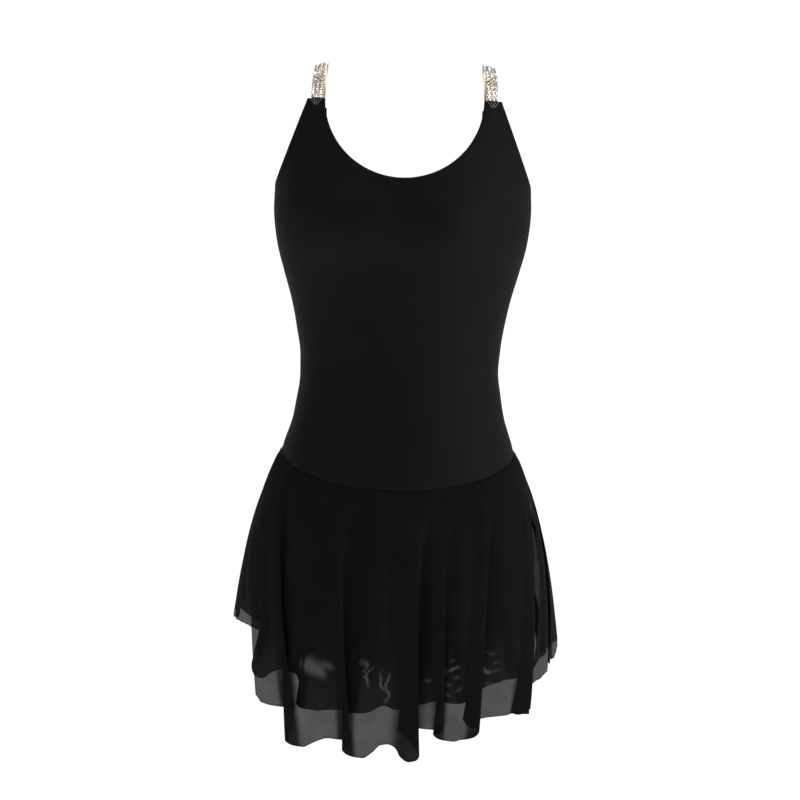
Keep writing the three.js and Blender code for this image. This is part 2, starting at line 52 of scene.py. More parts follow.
# ---------- the garment's own sizes, in millimetres, as the solids have them ----------
TAB_LEVEL, BACK_TAB_DROP, TAB_WIDTH = -41, 4, 20
NECK_RADIUS, BACK_NECK_DEPTH, ARMHOLE_DEPTH = 90.5, 205, 95
SEAM_SIDE_LEVEL, SEAM_FRONT_DIP, SEAM_BACK_DIP = -437, 49, 33
BRIEF_SIDE, BRIEF_DEPTH, CROTCH_WIDTH, GUSSET_SAG = 68, 161, 62, 14
BUST_HEIGHT, BUST_SPACING, BUST_LEVEL, BUST_SPREAD = 13, 128, -184, 44
STRAP_WIDTH, STRAP_THICKNESS, BACKING, BACKING_GAP, STRAP_TUCK, STRAP_LEAN = 15, 2.4, 0.6, 0.5, 12, 5
STRAP_ROLL = 20
LAYER_GAP, ELASTIC, ELASTIC_WIDTH, EDGE_MARGIN = 0.85, 0.8, 6, 1
FLARE_SIDE, FLARE_FRONT, FLARE_BACK, EASE = 65, 50, 54, 130
LABEL_WIDTH, LABEL_LENGTH = 20, 30
BACK_TAB_LEVEL = TAB_LEVEL - BACK_TAB_DROP
UNDERARM_LEVEL = TAB_LEVEL - ARMHOLE_DEPTH
LEG_SIDE_LEVEL = SEAM_SIDE_LEVEL - BRIEF_SIDE
CROTCH_LEVEL = SEAM_SIDE_LEVEL - BRIEF_DEPTH
TAB_OUTER = NECK_RADIUS + TAB_WIDTH
TAB_CENTRE = NECK_RADIUS + TAB_WIDTH / 2

# The body form under the cloth: (level, half width, depth in front, depth behind).
FORM = np.array([
    (10, 150, 62, 88), (-41, 149, 70, 96), (-90, 147.5, 82, 103), (-136, 146, 93, 106),
    (-170, 146.5, 100, 106), (-205, 142, 98, 103), (-235, 134, 92, 98), (-268, 124.5, 87, 92),
    (-302, 117.5, 84, 87), (-345, 112.5, 83, 84), (-400, 119.5, 90, 93), (-437, 131, 97, 104),
    (-487, 144.5, 104, 118), (-530, 150, 105, 125), (-570, 151, 88, 112), (-598, 150, 56, 80),
    (-620, 148, 30, 48),
], float)
HALF, FRONT, BACK = 1, 2, 3


def form_value(key, z):
    """One of the form's sizes at a level, on a smooth curve through its stations."""
    z = np.asarray(z, float)
    zs, vs = FORM[:, 0], FORM[:, key]
    n = len(zs)
    i = np.clip(np.searchsorted(-zs, -z, side="left"), 1, n - 1)
    p, a, b, q = np.maximum(i - 2, 0), i - 1, i, np.minimum(i + 1, n - 1)
    span = zs[b] - zs[a]
    slope_a = (vs[b] - vs[p]) / (zs[b] - zs[p])
    slope_b = (vs[q] - vs[a]) / (zs[q] - zs[a])
    t = np.clip((z - zs[a]) / span, 0, 1)
    t2, t3 = t * t, t * t * t
    return (vs[a] * (2 * t3 - 3 * t2 + 1) + vs[b] * (3 * t2 - 2 * t3)
            + slope_a * span * (t3 - 2 * t2 + t) + slope_b * span * (t3 - t2))


def form_point(phi, z):
    """A point on the form: phi is 0 at centre front and grows towards the wearer's left."""
    c = np.cos(phi)
    x = form_value(HALF, z) * np.sin(phi)
    y = -c * np.where(c > 0, form_value(FRONT, z), form_value(BACK, z))
    for side in (-1, 1):
        d = np.hypot(x - side * BUST_SPACING / 2, z - BUST_LEVEL) / BUST_SPREAD
        y = y - np.where(c > 0, BUST_HEIGHT * np.exp(-d * d) * np.sqrt(np.maximum(c, 0)), 0)
    return np.stack([x, y, np.broadcast_to(z, x.shape)], -1)


def normal_at(phi, z):
    along = form_point(phi + 0.01, z) - form_point(phi - 0.01, z)
    up = form_point(phi, z + 1) - form_point(phi, z - 1)
    n = np.cross(along, up)
    return n / np.linalg.norm(n, axis=-1, keepdims=True)


def on_form(phi, z, out=0.0):
    phi, z = np.broadcast_arrays(np.asarray(phi, float), np.asarray(z, float))
    return form_point(phi, z) + normal_at(phi, z) * np.asarray(out)[..., None]


def front_phi(x, z):
    return np.arcsin(np.clip(x / form_value(HALF, z), -1, 1))


def back_phi(x, z):
    return math.pi - front_phi(x, z)


def seam_level(phi):
    c = np.cos(phi)
    return SEAM_SIDE_LEVEL - np.where(c > 0, SEAM_FRONT_DIP * c, -SEAM_BACK_DIP * c)


def smooth(a, b, x):
    """0 up to a, 1 from b on, with a smooth step between."""
    t = np.clip((x - a) / (b - a), 0, 1)
    return t * t * (3 - 2 * t)


# ---------- mesh helpers ----------
def new_mesh(name, verts, faces, body, mats=(), uv=None, smooth_faces=True, face_mat=None):
    """A mesh object from points in millimetres, which rides on a body if one is given."""
    me = bpy.data.meshes.new(name)
    me.from_pydata((np.asarray(verts) * MM).tolist(), [], [tuple(map(int, f)) for f in faces])
    me.update()
    if uv is not None:
        layer = me.uv_layers.new(name="UVMap")
        index = np.empty(len(me.loops), np.int32)
        me.loops.foreach_get("vertex_index", index)
        layer.data.foreach_set("uv", np.asarray(uv, np.float32)[index].ravel())
    if smooth_faces:
        me.polygons.foreach_set("use_smooth", [True] * len(me.polygons))
    for m in mats:
        me.materials.append(m)
    if face_mat is not None:
        me.polygons.foreach_set("material_index", list(map(int, face_mat)))
    ob = bpy.data.objects.new(name, me)
    bpy.context.scene.collection.objects.link(ob)
    if body:
        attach(ob, body)
    return ob


def recalc(ob):
    bm = bmesh.new()
    bm.from_mesh(ob.data)
    bmesh.ops.recalc_face_normals(bm, faces=bm.faces)
    bm.to_mesh(ob.data)
    bm.free()


def grid_faces(nu, nv, offset=0, flip=False):
    a = np.arange(nu * nv).reshape(nv, nu) + offset
    q = np.stack([a[:-1, :-1], a[:-1, 1:], a[1:, 1:], a[1:, :-1]], -1).reshape(-1, 4)
    return q[:, ::-1] if flip else q


def shell(name, inner, outer, body, mats):
    """A closed sheet of cloth between two grids of points, with a rounded rim."""
    nv, nu = outer.shape[:2]
    count = nu * nv
    ring = np.concatenate([
        np.arange(nu), np.arange(1, nv) * nu + nu - 1, (nv - 1) * nu + np.arange(nu - 2, -1, -1),
        np.arange(nv - 2, 0, -1) * nu,
    ])
    o, i = outer.reshape(-1, 3), inner.reshape(-1, 3)
    mid = (o[ring] + i[ring]) / 2
    centre = np.concatenate([o[nu:2 * nu], o.reshape(nv, nu, 3)[1:, -2], o[-2 * nu:-nu][::-1][1:],
                             o.reshape(nv, nu, 3)[1:-1, 1][::-1]])[:len(ring)]
    away = mid - centre
    length = np.linalg.norm(away, axis=1, keepdims=True)
    thick = np.linalg.norm(o[ring] - i[ring], axis=1, keepdims=True)
    mid = mid + away / np.maximum(length, 1e-6) * thick * 0.35
    verts = np.concatenate([o, i, mid])
    m = 2 * count + np.arange(len(ring))
    nxt = np.roll(np.arange(len(ring)), -1)
    faces = [*grid_faces(nu, nv), *grid_faces(nu, nv, count, True)]
    faces += [(ring[k], m[k], m[nxt[k]], ring[nxt[k]]) for k in range(len(ring))]
    faces += [(m[k], ring[k] + count, ring[nxt[k]] + count, m[nxt[k]]) for k in range(len(ring))]
    ob = new_mesh(name, verts, faces, None, mats)
    recalc(ob)
    if body:
        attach(ob, body)
    return ob


def tube_parts(path, radius, sides, start=0):
    """The points and faces of a round thread along a path, with its first point numbered start."""
    t = np.gradient(path, axis=0)
    t /= np.linalg.norm(t, axis=1, keepdims=True)
    ref = np.where(np.abs(t[:, 2:3]) < 0.9, [[0, 0, 1.0]], [[1.0, 0, 0]])
    u = np.cross(t, ref)
    u /= np.linalg.norm(u, axis=1, keepdims=True)
    w = np.cross(t, u)
    a = np.arange(sides) * 2 * math.pi / sides
    around = np.cos(a)[None, :, None] * u[:, None] + np.sin(a)[None, :, None] * w[:, None]
    ring = path[:, None] + radius * around
    n = len(path)
    faces = []
    for k in range(n - 1):
        here, there = start + k * sides, start + (k + 1) * sides
        for s in range(sides):
            r = (s + 1) % sides
            faces.append((here + s, there + s, there + r, here + r))
    faces.append(tuple(start + s for s in range(sides)))
    faces.append(tuple(start + (n - 1) * sides + s for s in reversed(range(sides))))
    return ring.reshape(-1, 3), faces


# ---------- materials ----------
def material(name, colour, roughness, **sockets):
    m = bpy.data.materials.new(name)
    m.use_nodes = True
    b = m.node_tree.nodes["Principled BSDF"]
    b.inputs["Base Color"].default_value = (*colour, 1)
    b.inputs["Roughness"].default_value = roughness
    for k, v in sockets.items():
        b.inputs[k.replace("_", " ")].default_value = v
    return m, m.node_tree.nodes, m.node_tree.links, b


def node(nodes, kind, **values):
    n = nodes.new(kind)
    for k, v in values.items():
        if k in n.inputs:
            n.inputs[k].default_value = v
        else:
            setattr(n, k, v)
    return n


def wave_scale(pitch):
    """The scale of a wave texture whose bands are a pitch apart, in millimetres."""
    return math.pi / (10 * pitch * MM)


def knit(name, dark, light, roughness, pitch, wrinkle=0.25):
    """Stretch knit: fine wales and courses, slow colour variation, and soft drag wrinkles in the bump."""
    m, N, L, b = material(
        name, dark, roughness, Sheen_Weight=0.01, Sheen_Roughness=0.45, Specular_IOR_Level=0.06)
    co = node(N, "ShaderNodeTexCoord")
    wale = node(N, "ShaderNodeTexWave", wave_type="BANDS", bands_direction="DIAGONAL")
    wale.inputs["Scale"].default_value = wave_scale(pitch)
    wale.inputs["Distortion"].default_value = 0.6
    wale.inputs["Detail"].default_value = 1
    course = node(N, "ShaderNodeTexWave", wave_type="BANDS", bands_direction="Z")
    course.inputs["Scale"].default_value = wave_scale(pitch * 0.8)
    course.inputs["Distortion"].default_value = 0.4
    slow = node(N, "ShaderNodeTexNoise")
    slow.inputs["Scale"].default_value = 16
    slow.inputs["Detail"].default_value = 3
    place = node(N, "ShaderNodeMapping")
    place.inputs["Scale"].default_value = (1, 1, 0.35)
    drag = node(N, "ShaderNodeTexNoise")
    drag.inputs["Scale"].default_value = 30
    drag.inputs["Detail"].default_value = 2
    ramp = node(N, "ShaderNodeMix", data_type="RGBA")
    ramp.inputs[6].default_value = (*dark, 1)
    ramp.inputs[7].default_value = (*light, 1)
    both = node(N, "ShaderNodeMath", operation="MULTIPLY")
    fine = node(N, "ShaderNodeBump")
    fine.inputs["Strength"].default_value = 0.35
    fine.inputs["Distance"].default_value = 0.00025
    big = node(N, "ShaderNodeBump")
    big.inputs["Strength"].default_value = wrinkle
    big.inputs["Distance"].default_value = 0.004
    mixf = node(N, "ShaderNodeMath", operation="MULTIPLY_ADD")
    mixf.inputs[1].default_value = 0.35
    for t in (wale, course, slow):
        L.new(co.outputs["Object"], t.inputs["Vector"])
    L.new(co.outputs["Object"], place.inputs["Vector"])
    L.new(place.outputs["Vector"], drag.inputs["Vector"])
    L.new(wale.outputs["Fac"], both.inputs[0])
    L.new(course.outputs["Fac"], both.inputs[1])
    L.new(both.outputs["Value"], mixf.inputs[0])
    L.new(slow.outputs["Fac"], mixf.inputs[2])
    L.new(mixf.outputs["Value"], ramp.inputs[0])
    L.new(ramp.outputs[2], b.inputs["Base Color"])
    L.new(drag.outputs["Fac"], big.inputs["Height"])
    L.new(both.outputs["Value"], fine.inputs["Height"])
    L.new(big.outputs["Normal"], fine.inputs["Normal"])
    L.new(fine.outputs["Normal"], b.inputs["Normal"])
    return m


def net(name, dark, light, cover):
    """Sheer stretch net: a fine lattice of threads, whose alpha is the share of light that it stops."""
    m, N, L, b = material(name, dark, 0.75, Sheen_Weight=0.01, Specular_IOR_Level=0.03)
    co = node(N, "ShaderNodeTexCoord")
    lattice = node(N, "ShaderNodeMath", operation="MAXIMUM")
    for k, way in enumerate("XY"):
        w = node(N, "ShaderNodeTexWave", wave_type="BANDS", bands_direction=way)
        w.inputs["Scale"].default_value = wave_scale(0.9)
        w.inputs["Distortion"].default_value = 0.3
        L.new(co.outputs["UV"], w.inputs["Vector"])
        L.new(w.outputs["Fac"], lattice.inputs[k])
    slow = node(N, "ShaderNodeTexNoise")
    slow.inputs["Scale"].default_value = 30
    slow.inputs["Detail"].default_value = 3
    L.new(co.outputs["UV"], slow.inputs["Vector"])
    span = node(N, "ShaderNodeMapRange")
    span.inputs["To Min"].default_value = cover - 0.03
    span.inputs["To Max"].default_value = cover + 0.012
    L.new(lattice.outputs["Value"], span.inputs["Value"])
    cloud = node(N, "ShaderNodeMapRange")
    cloud.inputs["From Min"].default_value = 0.3
    cloud.inputs["From Max"].default_value = 0.7
    cloud.inputs["To Min"].default_value = -0.012
    cloud.inputs["To Max"].default_value = 0.012
    L.new(slow.outputs["Fac"], cloud.inputs["Value"])
    extra = node(N, "ShaderNodeAttribute", attribute_name="cover")
    total = node(N, "ShaderNodeMath", operation="ADD")
    alpha = node(N, "ShaderNodeMath", operation="ADD", use_clamp=True)
    L.new(span.outputs["Result"], total.inputs[0])
    L.new(cloud.outputs["Result"], total.inputs[1])
    L.new(total.outputs["Value"], alpha.inputs[0])
    L.new(extra.outputs["Fac"], alpha.inputs[1])
    L.new(alpha.outputs["Value"], b.inputs["Alpha"])
    ramp = node(N, "ShaderNodeMix", data_type="RGBA")
    ramp.inputs[6].default_value = (*dark, 1)
    ramp.inputs[7].default_value = (*light, 1)
    L.new(slow.outputs["Fac"], ramp.inputs[0])
    L.new(ramp.outputs[2], b.inputs["Base Color"])
    bump = node(N, "ShaderNodeBump")
    bump.inputs["Strength"].default_value = 0.3
    bump.inputs["Distance"].default_value = 0.0002
    L.new(lattice.outputs["Value"], bump.inputs["Height"])
    L.new(bump.outputs["Normal"], b.inputs["Normal"])
    return m


def ribbed(name, dark, light, pitch, roughness):
    """Woven elastic or tape: ribs along it, with a fleck in the colour."""
    m, N, L, b = material(name, dark, roughness, Sheen_Weight=0.02, Specular_IOR_Level=0.1)
    co = node(N, "ShaderNodeTexCoord")
    v = node(N, "ShaderNodeTexVoronoi")
    v.inputs["Scale"].default_value = 1 / (pitch * MM)
    noise = node(N, "ShaderNodeTexNoise")
    noise.inputs["Scale"].default_value = 300
    ramp = node(N, "ShaderNodeMix", data_type="RGBA")
    ramp.inputs[6].default_value = (*dark, 1)
    ramp.inputs[7].default_value = (*light, 1)
    bump = node(N, "ShaderNodeBump")
    bump.inputs["Strength"].default_value = 0.5
    bump.inputs["Distance"].default_value = 0.0003
    L.new(co.outputs["Object"], v.inputs["Vector"])
    L.new(co.outputs["Object"], noise.inputs["Vector"])
    L.new(noise.outputs["Fac"], ramp.inputs[0])
    L.new(ramp.outputs[2], b.inputs["Base Color"])
    L.new(v.outputs["Distance"], bump.inputs["Height"])
    L.new(bump.outputs["Normal"], b.inputs["Normal"])
    return m


def metal(name, colour, shade, roughness, grain):
    """Plated metal with fine wear in its colour and roughness."""
    m, N, L, b = material(name, colour, roughness, Metallic=1.0)
    co = node(N, "ShaderNodeTexCoord")
    n = node(N, "ShaderNodeTexNoise")
    n.inputs["Scale"].default_value = grain
    n.inputs["Detail"].default_value = 3
    ramp = node(N, "ShaderNodeMix", data_type="RGBA")
    ramp.inputs[6].default_value = (*colour, 1)
    ramp.inputs[7].default_value = (*shade, 1)
    rough = node(N, "ShaderNodeMapRange")
    rough.inputs["To Min"].default_value = roughness * 0.6
    rough.inputs["To Max"].default_value = roughness * 1.5
    L.new(co.outputs["Object"], n.inputs["Vector"])
    L.new(n.outputs["Fac"], ramp.inputs[0])
    L.new(n.outputs["Fac"], rough.inputs["Value"])
    L.new(ramp.outputs[2], b.inputs["Base Color"])
    L.new(rough.outputs["Result"], b.inputs["Roughness"])
    return m


STRETCH = knit("stretch_knit", (0.0026, 0.0028, 0.0034), (0.0045, 0.0048, 0.0057), 0.55, 0.45)
LINING = knit("power_net", (0.006, 0.006, 0.007), (0.011, 0.011, 0.013), 0.7, 0.9, 0.1)
NET = net("sheer_net", (0.0032, 0.0034, 0.0038), (0.0055, 0.0058, 0.0064), 0.929)
BAND = ribbed("elastic_band", (0.008, 0.008, 0.009), (0.016, 0.016, 0.018), 0.7, 0.85)
TAPE = ribbed("seam_tape", (0.006, 0.006, 0.007), (0.012, 0.012, 0.014), 0.5, 0.8)
THREAD = ribbed("sewing_thread", (0.006, 0.006, 0.007), (0.014, 0.014, 0.016), 0.3, 0.6)
TACK = ribbed("tack_thread", (0.30, 0.30, 0.32), (0.48, 0.47, 0.46), 0.3, 0.35)
SATIN = ribbed("label_satin", (0.74, 0.72, 0.67), (0.82, 0.80, 0.76), 0.35, 0.45)
GOLD = metal("pale_gold", (0.97, 0.87, 0.70), (0.84, 0.71, 0.51), 0.20, 900)
MESH_GOLD = metal("gold_wire_mesh", (0.90, 0.78, 0.58), (0.62, 0.49, 0.31), 0.30, 1500)
# The stones are one clear crystal, but each facet is drawn as one of three mirror metals: a painted glint, a
# painted mid-tone reflection and painted shade.
STONE_LIT_AND_SHADED = [
    metal("stone_painted_glint", (0.98, 0.985, 1.0), (0.92, 0.93, 0.97), 0.05, 700),
    metal("stone_painted_midtone", (0.76, 0.78, 0.82), (0.58, 0.60, 0.65), 0.06, 700),
    metal("stone_painted_shade", (0.17, 0.17, 0.18), (0.09, 0.09, 0.105), 0.06, 700),
]


# ---------- outlines ----------
def armhole(level, phi_of, n):
    side = form_value(HALF, UNDERARM_LEVEL)
    t = np.linspace(0, 1, n + 1) ** 2
    z = UNDERARM_LEVEL + (level - UNDERARM_LEVEL) * t
    return np.stack([phi_of(side + (TAB_OUTER - side) * t, z), z], -1)


def neckline(level, depth, phi_of, n, grow=0.0):
    a = (1 - 2 * np.linspace(0, 1, n + 1)) * math.pi / 2
    z = level - (depth + grow) * np.cos(a)
    return np.stack([phi_of((NECK_RADIUS + grow) * np.sin(a), z), z], -1)


def tab_top(level, phi_of, n):
    x = TAB_OUTER + (NECK_RADIUS - TAB_OUTER) * np.linspace(0, 1, n + 1)
    z = np.full(n + 1, float(level))
    return np.stack([phi_of(x, z), z], -1)


def mirrored(edge, centre):
    out = edge[::-1].copy()
    out[:, 0] = 2 * centre - out[:, 0]
    return out


def leg_edge(phi_of, bow, n):
    side = form_value(HALF, LEG_SIDE_LEVEL)
    a = np.linspace(0, 1, n + 1) ** 1.25 * math.pi / 2
    x = side + (CROTCH_WIDTH / 2 - side) * np.sin(a)
    z = LEG_SIDE_LEVEL + (CROTCH_LEVEL - LEG_SIDE_LEVEL) * (np.sin(a) + (1 - np.cos(a) - np.sin(a)) * bow)
    return np.stack([phi_of(x, z), z], -1)


def bodice_top(level, depth, phi_of, centre, arms, tabs, neck):
    arm = armhole(level, phi_of, arms)
    tab = tab_top(level, phi_of, tabs)[1:-1]
    scoop = neckline(level, depth, phi_of, neck)
    return np.concatenate([arm, tab, scoop, mirrored(tab, centre), mirrored(arm, centre)])


def seam_edge(a, b, n, lift):
    phi = np.linspace(a, b, n)
    return np.stack([phi, seam_level(phi) + lift], -1)


def cloth_grid(top, bottom, rows):
    v = np.linspace(0, 1, rows + 1)[:, None]
    phi = top[None, :, 0] * (1 - v) + bottom[None, :, 0] * v
    z = top[None, :, 1] * (1 - v) + bottom[None, :, 1] * v
    return phi, z


def drag_lines(phi, z):
    """Soft drag wrinkles of stretched cloth, in millimetres: across the waist, from the armholes to the
    bust, and at the hips."""
    c, s = np.cos(phi), np.sin(phi)
    waist = np.exp(-(((z + 345) / 42) ** 2))
    side = smooth(0.35, 0.9, np.abs(s))
    ripple = np.sin((z + 18 * np.abs(s) + 6 * np.sin(phi * 3)) / 7.5) * waist * side * 0.45
    arm = np.exp(-(((z + 168) / 30) ** 2)) * smooth(0.55, 0.9, np.abs(s)) * smooth(0, 0.3, c)
    pull = np.sin((z * 0.8 + 70 * np.abs(s)) / 6.5) * arm * 0.4
    hip = np.exp(-(((z + 425) / 30) ** 2)) * np.sin(phi * 9 + z / 21) * 0.35
    return ripple + pull + hip


def worn_cloth(phi, z, low, high, roll=0):
    """The inner and outer face of cloth on the form, rolled towards it at its edges."""
    lift = drag_lines(phi, z)
    base, n = form_point(phi, z), normal_at(phi, z)
    return base + n * (low + lift + roll)[..., None], base + n * (high + lift + roll)[..., None]


COARSER = 1
SIDE_GAP = 0.0012  # half the side seam's gap, in radians
FRONT_LOW, FRONT_HIGH = -math.pi / 2 + SIDE_GAP, math.pi / 2 - SIDE_GAP
BACK_LOW, BACK_HIGH = math.pi / 2 + SIDE_GAP, 3 * math.pi / 2 - SIDE_GAP
OUTER_LOW, OUTER_HIGH = 0.35, 1.35  # the outer cloth's two faces, in mm off the form
LINING_FACE = -2 * LAYER_GAP - ELASTIC
LINING_LOW, LINING_HIGH = LINING_FACE - 0.8, LINING_FACE - 0.1
HEM_STITCHES = 6.3  # from a hemmed edge to the groove of its stitching, in mm


def bodice(name, level, depth, phi_of, centre, low, high, node_name):
    top = bodice_top(level, depth, phi_of, centre, 26 // COARSER, 4, 64 // COARSER)
    top[:, 0] = np.clip(top[:, 0], low, high)
    order = (high, low) if centre == 0 else (low, high)
    bottom = seam_edge(order[0], order[1], len(top), 0.15)
    phi, z = cloth_grid(top, bottom, 110 // COARSER)
    down = (z - seam_level(phi))
    v = np.linspace(0, 1, z.shape[0])[:, None] * np.ones_like(z)
    edge = (top[:, 1] - seam_level(top[:, 0]))[None, :] * v
    roll = -0.75 * np.exp(-((down / 2.6) ** 2)) - 0.35 * np.exp(-((edge / 1.2) ** 2))
    groove = -0.22 * np.exp(-(((edge - HEM_STITCHES) / 0.7) ** 2))
    near_side = np.minimum(np.abs(phi - low), np.abs(phi - high)) * 110
    roll = roll + groove - 0.7 * np.exp(-((near_side / 1.8) ** 2))
    inner, outer = worn_cloth(phi, z, OUTER_LOW, OUTER_HIGH, roll)
    ob = shell(name, inner, outer, "torso", [STRETCH])
    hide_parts(node_name)


bodice("bodice_front_cloth", TAB_LEVEL, NECK_RADIUS, front_phi, 0, FRONT_LOW, FRONT_HIGH, "bodice_front")
bodice("bodice_back_cloth", BACK_TAB_LEVEL, BACK_NECK_DEPTH, back_phi, math.pi, BACK_LOW, BACK_HIGH,
       "bodice_back")


def lining():
    top = bodice_top(TAB_LEVEL, NECK_RADIUS, front_phi, 0, 16, 2, 40)
    grow = 2.0
    neck = neckline(TAB_LEVEL, NECK_RADIUS, front_phi, 40, grow)
    top[18:18 + 41] = neck if len(neck) == 41 else top[18:59]
    top[:, 1] = np.minimum(top[:, 1] - 2 * grow, TAB_LEVEL - STRAP_TUCK - 8)
    inset = 2 * RAD
    top[:, 0] = np.clip(top[:, 0], FRONT_LOW + inset, FRONT_HIGH - inset)
    bottom = seam_edge(FRONT_HIGH - inset, FRONT_LOW + inset, len(top), 6)
    phi, z = cloth_grid(top, bottom, 50)
    inner, outer = worn_cloth(phi, z, LINING_LOW, LINING_HIGH)
    ob = shell("front_lining_cloth", inner, outer, "torso", [LINING])
    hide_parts("front_lining")


lining()


def brief(name, phi_of, centre, low, high, bow, node_name):
    leg = leg_edge(phi_of, bow, 40 // COARSER)
    leg[:, 0] = np.clip(leg[:, 0], low, high)
    mid = np.array([[phi_of(x, CROTCH_LEVEL), CROTCH_LEVEL] for x in (12.0, 0.0, -12.0)])
    bottom = np.concatenate([leg, mid, mirrored(leg, centre)])
    top = seam_edge(bottom[0, 0], bottom[-1, 0], len(bottom), -0.15)
    phi, z = cloth_grid(top, bottom, 36)
    v = np.linspace(0, 1, z.shape[0])[:, None] * np.ones_like(z)
    edge = np.abs(bottom[:, 1] - top[:, 1])[None, :] * (1 - v)
    groove = -0.22 * np.exp(-(((edge - HEM_STITCHES) / 0.7) ** 2))
    roll = -0.75 * np.exp(-(((z - seam_level(phi)) / 2.6) ** 2)) + groove
    inner, outer = worn_cloth(phi, z, OUTER_LOW, OUTER_HIGH, roll)
    ob = shell(name, inner, outer, "torso", [STRETCH])
    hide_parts(node_name)


brief("brief_front_cloth", front_phi, 0, FRONT_LOW, FRONT_HIGH, 0.75, "brief_front")
brief("brief_back_cloth", back_phi, math.pi, BACK_LOW, BACK_HIGH, 0.2, "brief_back")


def on_gusset(x, s, out):
    """A point on the sling under the crotch: s runs from the front seam, 0, to the back one, 1."""
    front = on_form(front_phi(x, CROTCH_LEVEL), np.full_like(x, CROTCH_LEVEL))
    back = on_form(back_phi(x, CROTCH_LEVEL), np.full_like(x, CROTCH_LEVEL))
    y = front[..., 1] + (back[..., 1] - front[..., 1]) * s
    z = CROTCH_LEVEL - GUSSET_SAG * np.sin(math.pi * s)
    slope = -GUSSET_SAG * math.pi * np.cos(math.pi * s) / (back[..., 1] - front[..., 1])
    n = np.stack([np.zeros_like(x), slope, -np.ones_like(x)], -1)
    n /= np.linalg.norm(n, axis=-1, keepdims=True)
    return np.stack([x, y, z], -1) + n * out


def gusset(name, half, trim, low, high, mat, node_name):
    x, s = np.meshgrid(np.linspace(-half, half, 17), np.linspace(trim, 1 - trim, 41))
    ob = shell(name, on_gusset(x, s, low), on_gusset(x, s, high), "torso", [mat])
    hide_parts(node_name)


gusset("gusset_cloth", CROTCH_WIDTH / 2, 0.010, OUTER_LOW, OUTER_HIGH, STRETCH, "gusset")
gusset("gusset_lining_cloth", CROTCH_WIDTH / 2 - 2, 0.06, LINING_LOW, LINING_HIGH, LINING,
       "gusset_lining")

# ---------- skirt ----------
TOP_REACH = 89.6  # degrees round from a panel's centre to its sides at the seam
UV_DROP = 320  # the cloth from seam to hem that the net's texture is laid out on, in mm
# A pleat is (angle at the hem, half width, swing, stand-out): the cloth runs past the middle, turns back
# under itself and runs on, so three layers lie over each other. Angles are in degrees, stand-outs in mm.
FRONT_PLEATS = [
    (-34.3, 5.0, 4.7, 7), (-14.6, 5.0, 4.0, 7), (4.8, 6.5, 6.0, 12), (14.6, 3.6, 2.9, 5),
    (25.6, 4.5, 3.8, 7), (44.6, 4.2, 5.2, 6),
]
# A swell is (angle at the hem, half width, stand-out).
FRONT_SWELLS = [(-43, 8, 4), (-24.5, 7, 8), (-5, 7, 8), (4.8, 6, 9), (20, 4.5, 6), (36, 8, 6)]
# Where a hem lies: (angle, drop below the seam at the sides).
FRONT_HEM_LINE = [
    (-60, 272), (-50.5, 281), (-48, 287), (-44, 291), (-37.5, 295), (-35.9, 297), (-34.6, 318),
    (-33.6, 333), (-32.2, 337), (-29.5, 338), (-24, 331), (-20.5, 327), (-17.5, 330), (-15.0, 339),
    (-12.0, 346), (-9.2, 348), (-6, 341), (-3.6, 333), (-1.6, 332), (-1.0, 336), (-0.6, 346),
    (0.2, 352), (1.0, 352), (1.9, 349), (3, 343), (5, 326), (7.4, 315), (10, 314), (13.2, 318),
    (16, 325), (19, 328), (22.0, 325), (25.5, 314), (28, 306), (31.5, 301), (38.2, 298), (43, 296),
    (45.5, 300), (48.5, 298),
]
BACK_PLEATS = [
    (-112, 5, 3.4, -4), (-88, 6, 4.4, -6), (-66, 5, 3.6, -6), (-46, 5, 4.2, -7), (-25.6, 5, 4.2, 7),
    (-5, 5, 4.2, -7), (14.6, 5, 4.1, 7), (34.3, 5, 4.2, -7), (56, 5, 3.8, 6), (80, 6, 4.4, -6),
    (104, 5, 3.4, -4),
]
BACK_SWELLS = [
    (-100, 9, 4), (-77, 9, 6), (-56, 8, 8), (-36, 8, 9), (-15, 8, 9), (5, 8, 9), (24.5, 8, 9),
    (45, 9, 8), (68, 9, 6), (92, 9, 4),
]
BACK_HEM_LINE = [
    (-130, 266), (-124, 262), (-116, 251), (-108, 238), (-98, 224), (-88, 218), (-78, 222),
    (-70, 231), (-63, 239), (-56, 256), (-48, 267), (-42, 271), (-34, 279), (-30, 287),
    (-25.8, 299), (-20, 303), (-15, 301), (-10, 305), (-5, 312), (-1.5, 313), (3, 308), (8, 316),
    (13, 318), (20, 313), (25, 314), (33, 309), (36.0, 304), (38.2, 270), (41, 265), (47, 270),
    (51, 274), (54, 262), (57, 228), (60, 207), (66, 197), (75, 191), (84, 191), (92, 196),
    (104, 199), (116, 204), (130, 212),
]
# Where the back layer is crushed thin above its hem, and lightened there as a painted highlight of its
# crinkles by letting more backdrop through: (kind, x, z, half width, half height), in mm.
CRUSHED_AND_LIT = [
    ("blot", -90, -700, 27, 20), ("blot", -38, -693, 11, 8), ("wisp", -30, -706, 7, 18),
    ("wisp", -9, -722, 13, 20), ("ripple", 39, -716, 7, 12), ("ripple", 68, -712, 13, 30),
    ("ripple", 108, -696, 17, 22),
]
TURN_LIFT = 5  # how far the hem rises where a pleat turns back, in mm


def cubic(line, x):
    """A smooth curve through stations, which doesn't swing past them."""
    xs, ys = np.array(line, float).T
    slopes = np.gradient(ys, xs)
    left, right = np.diff(ys)[:-1] / np.diff(xs)[:-1], np.diff(ys)[1:] / np.diff(xs)[1:]
    slopes[1:-1] = np.where(left * right > 0, 2 * left * right / (left + right + 1e-12), 0)
    i = np.clip(np.searchsorted(xs, x) - 1, 0, len(xs) - 2)
    h = xs[i + 1] - xs[i]
    t = np.clip((x - xs[i]) / h, 0, 1)
    t2, t3 = t * t, t ** 3
    return (ys[i] * (2 * t3 - 3 * t2 + 1) + ys[i + 1] * (3 * t2 - 2 * t3)
            + slopes[i] * h * (t3 - 2 * t2 + t) + slopes[i + 1] * h * (t3 - t2))


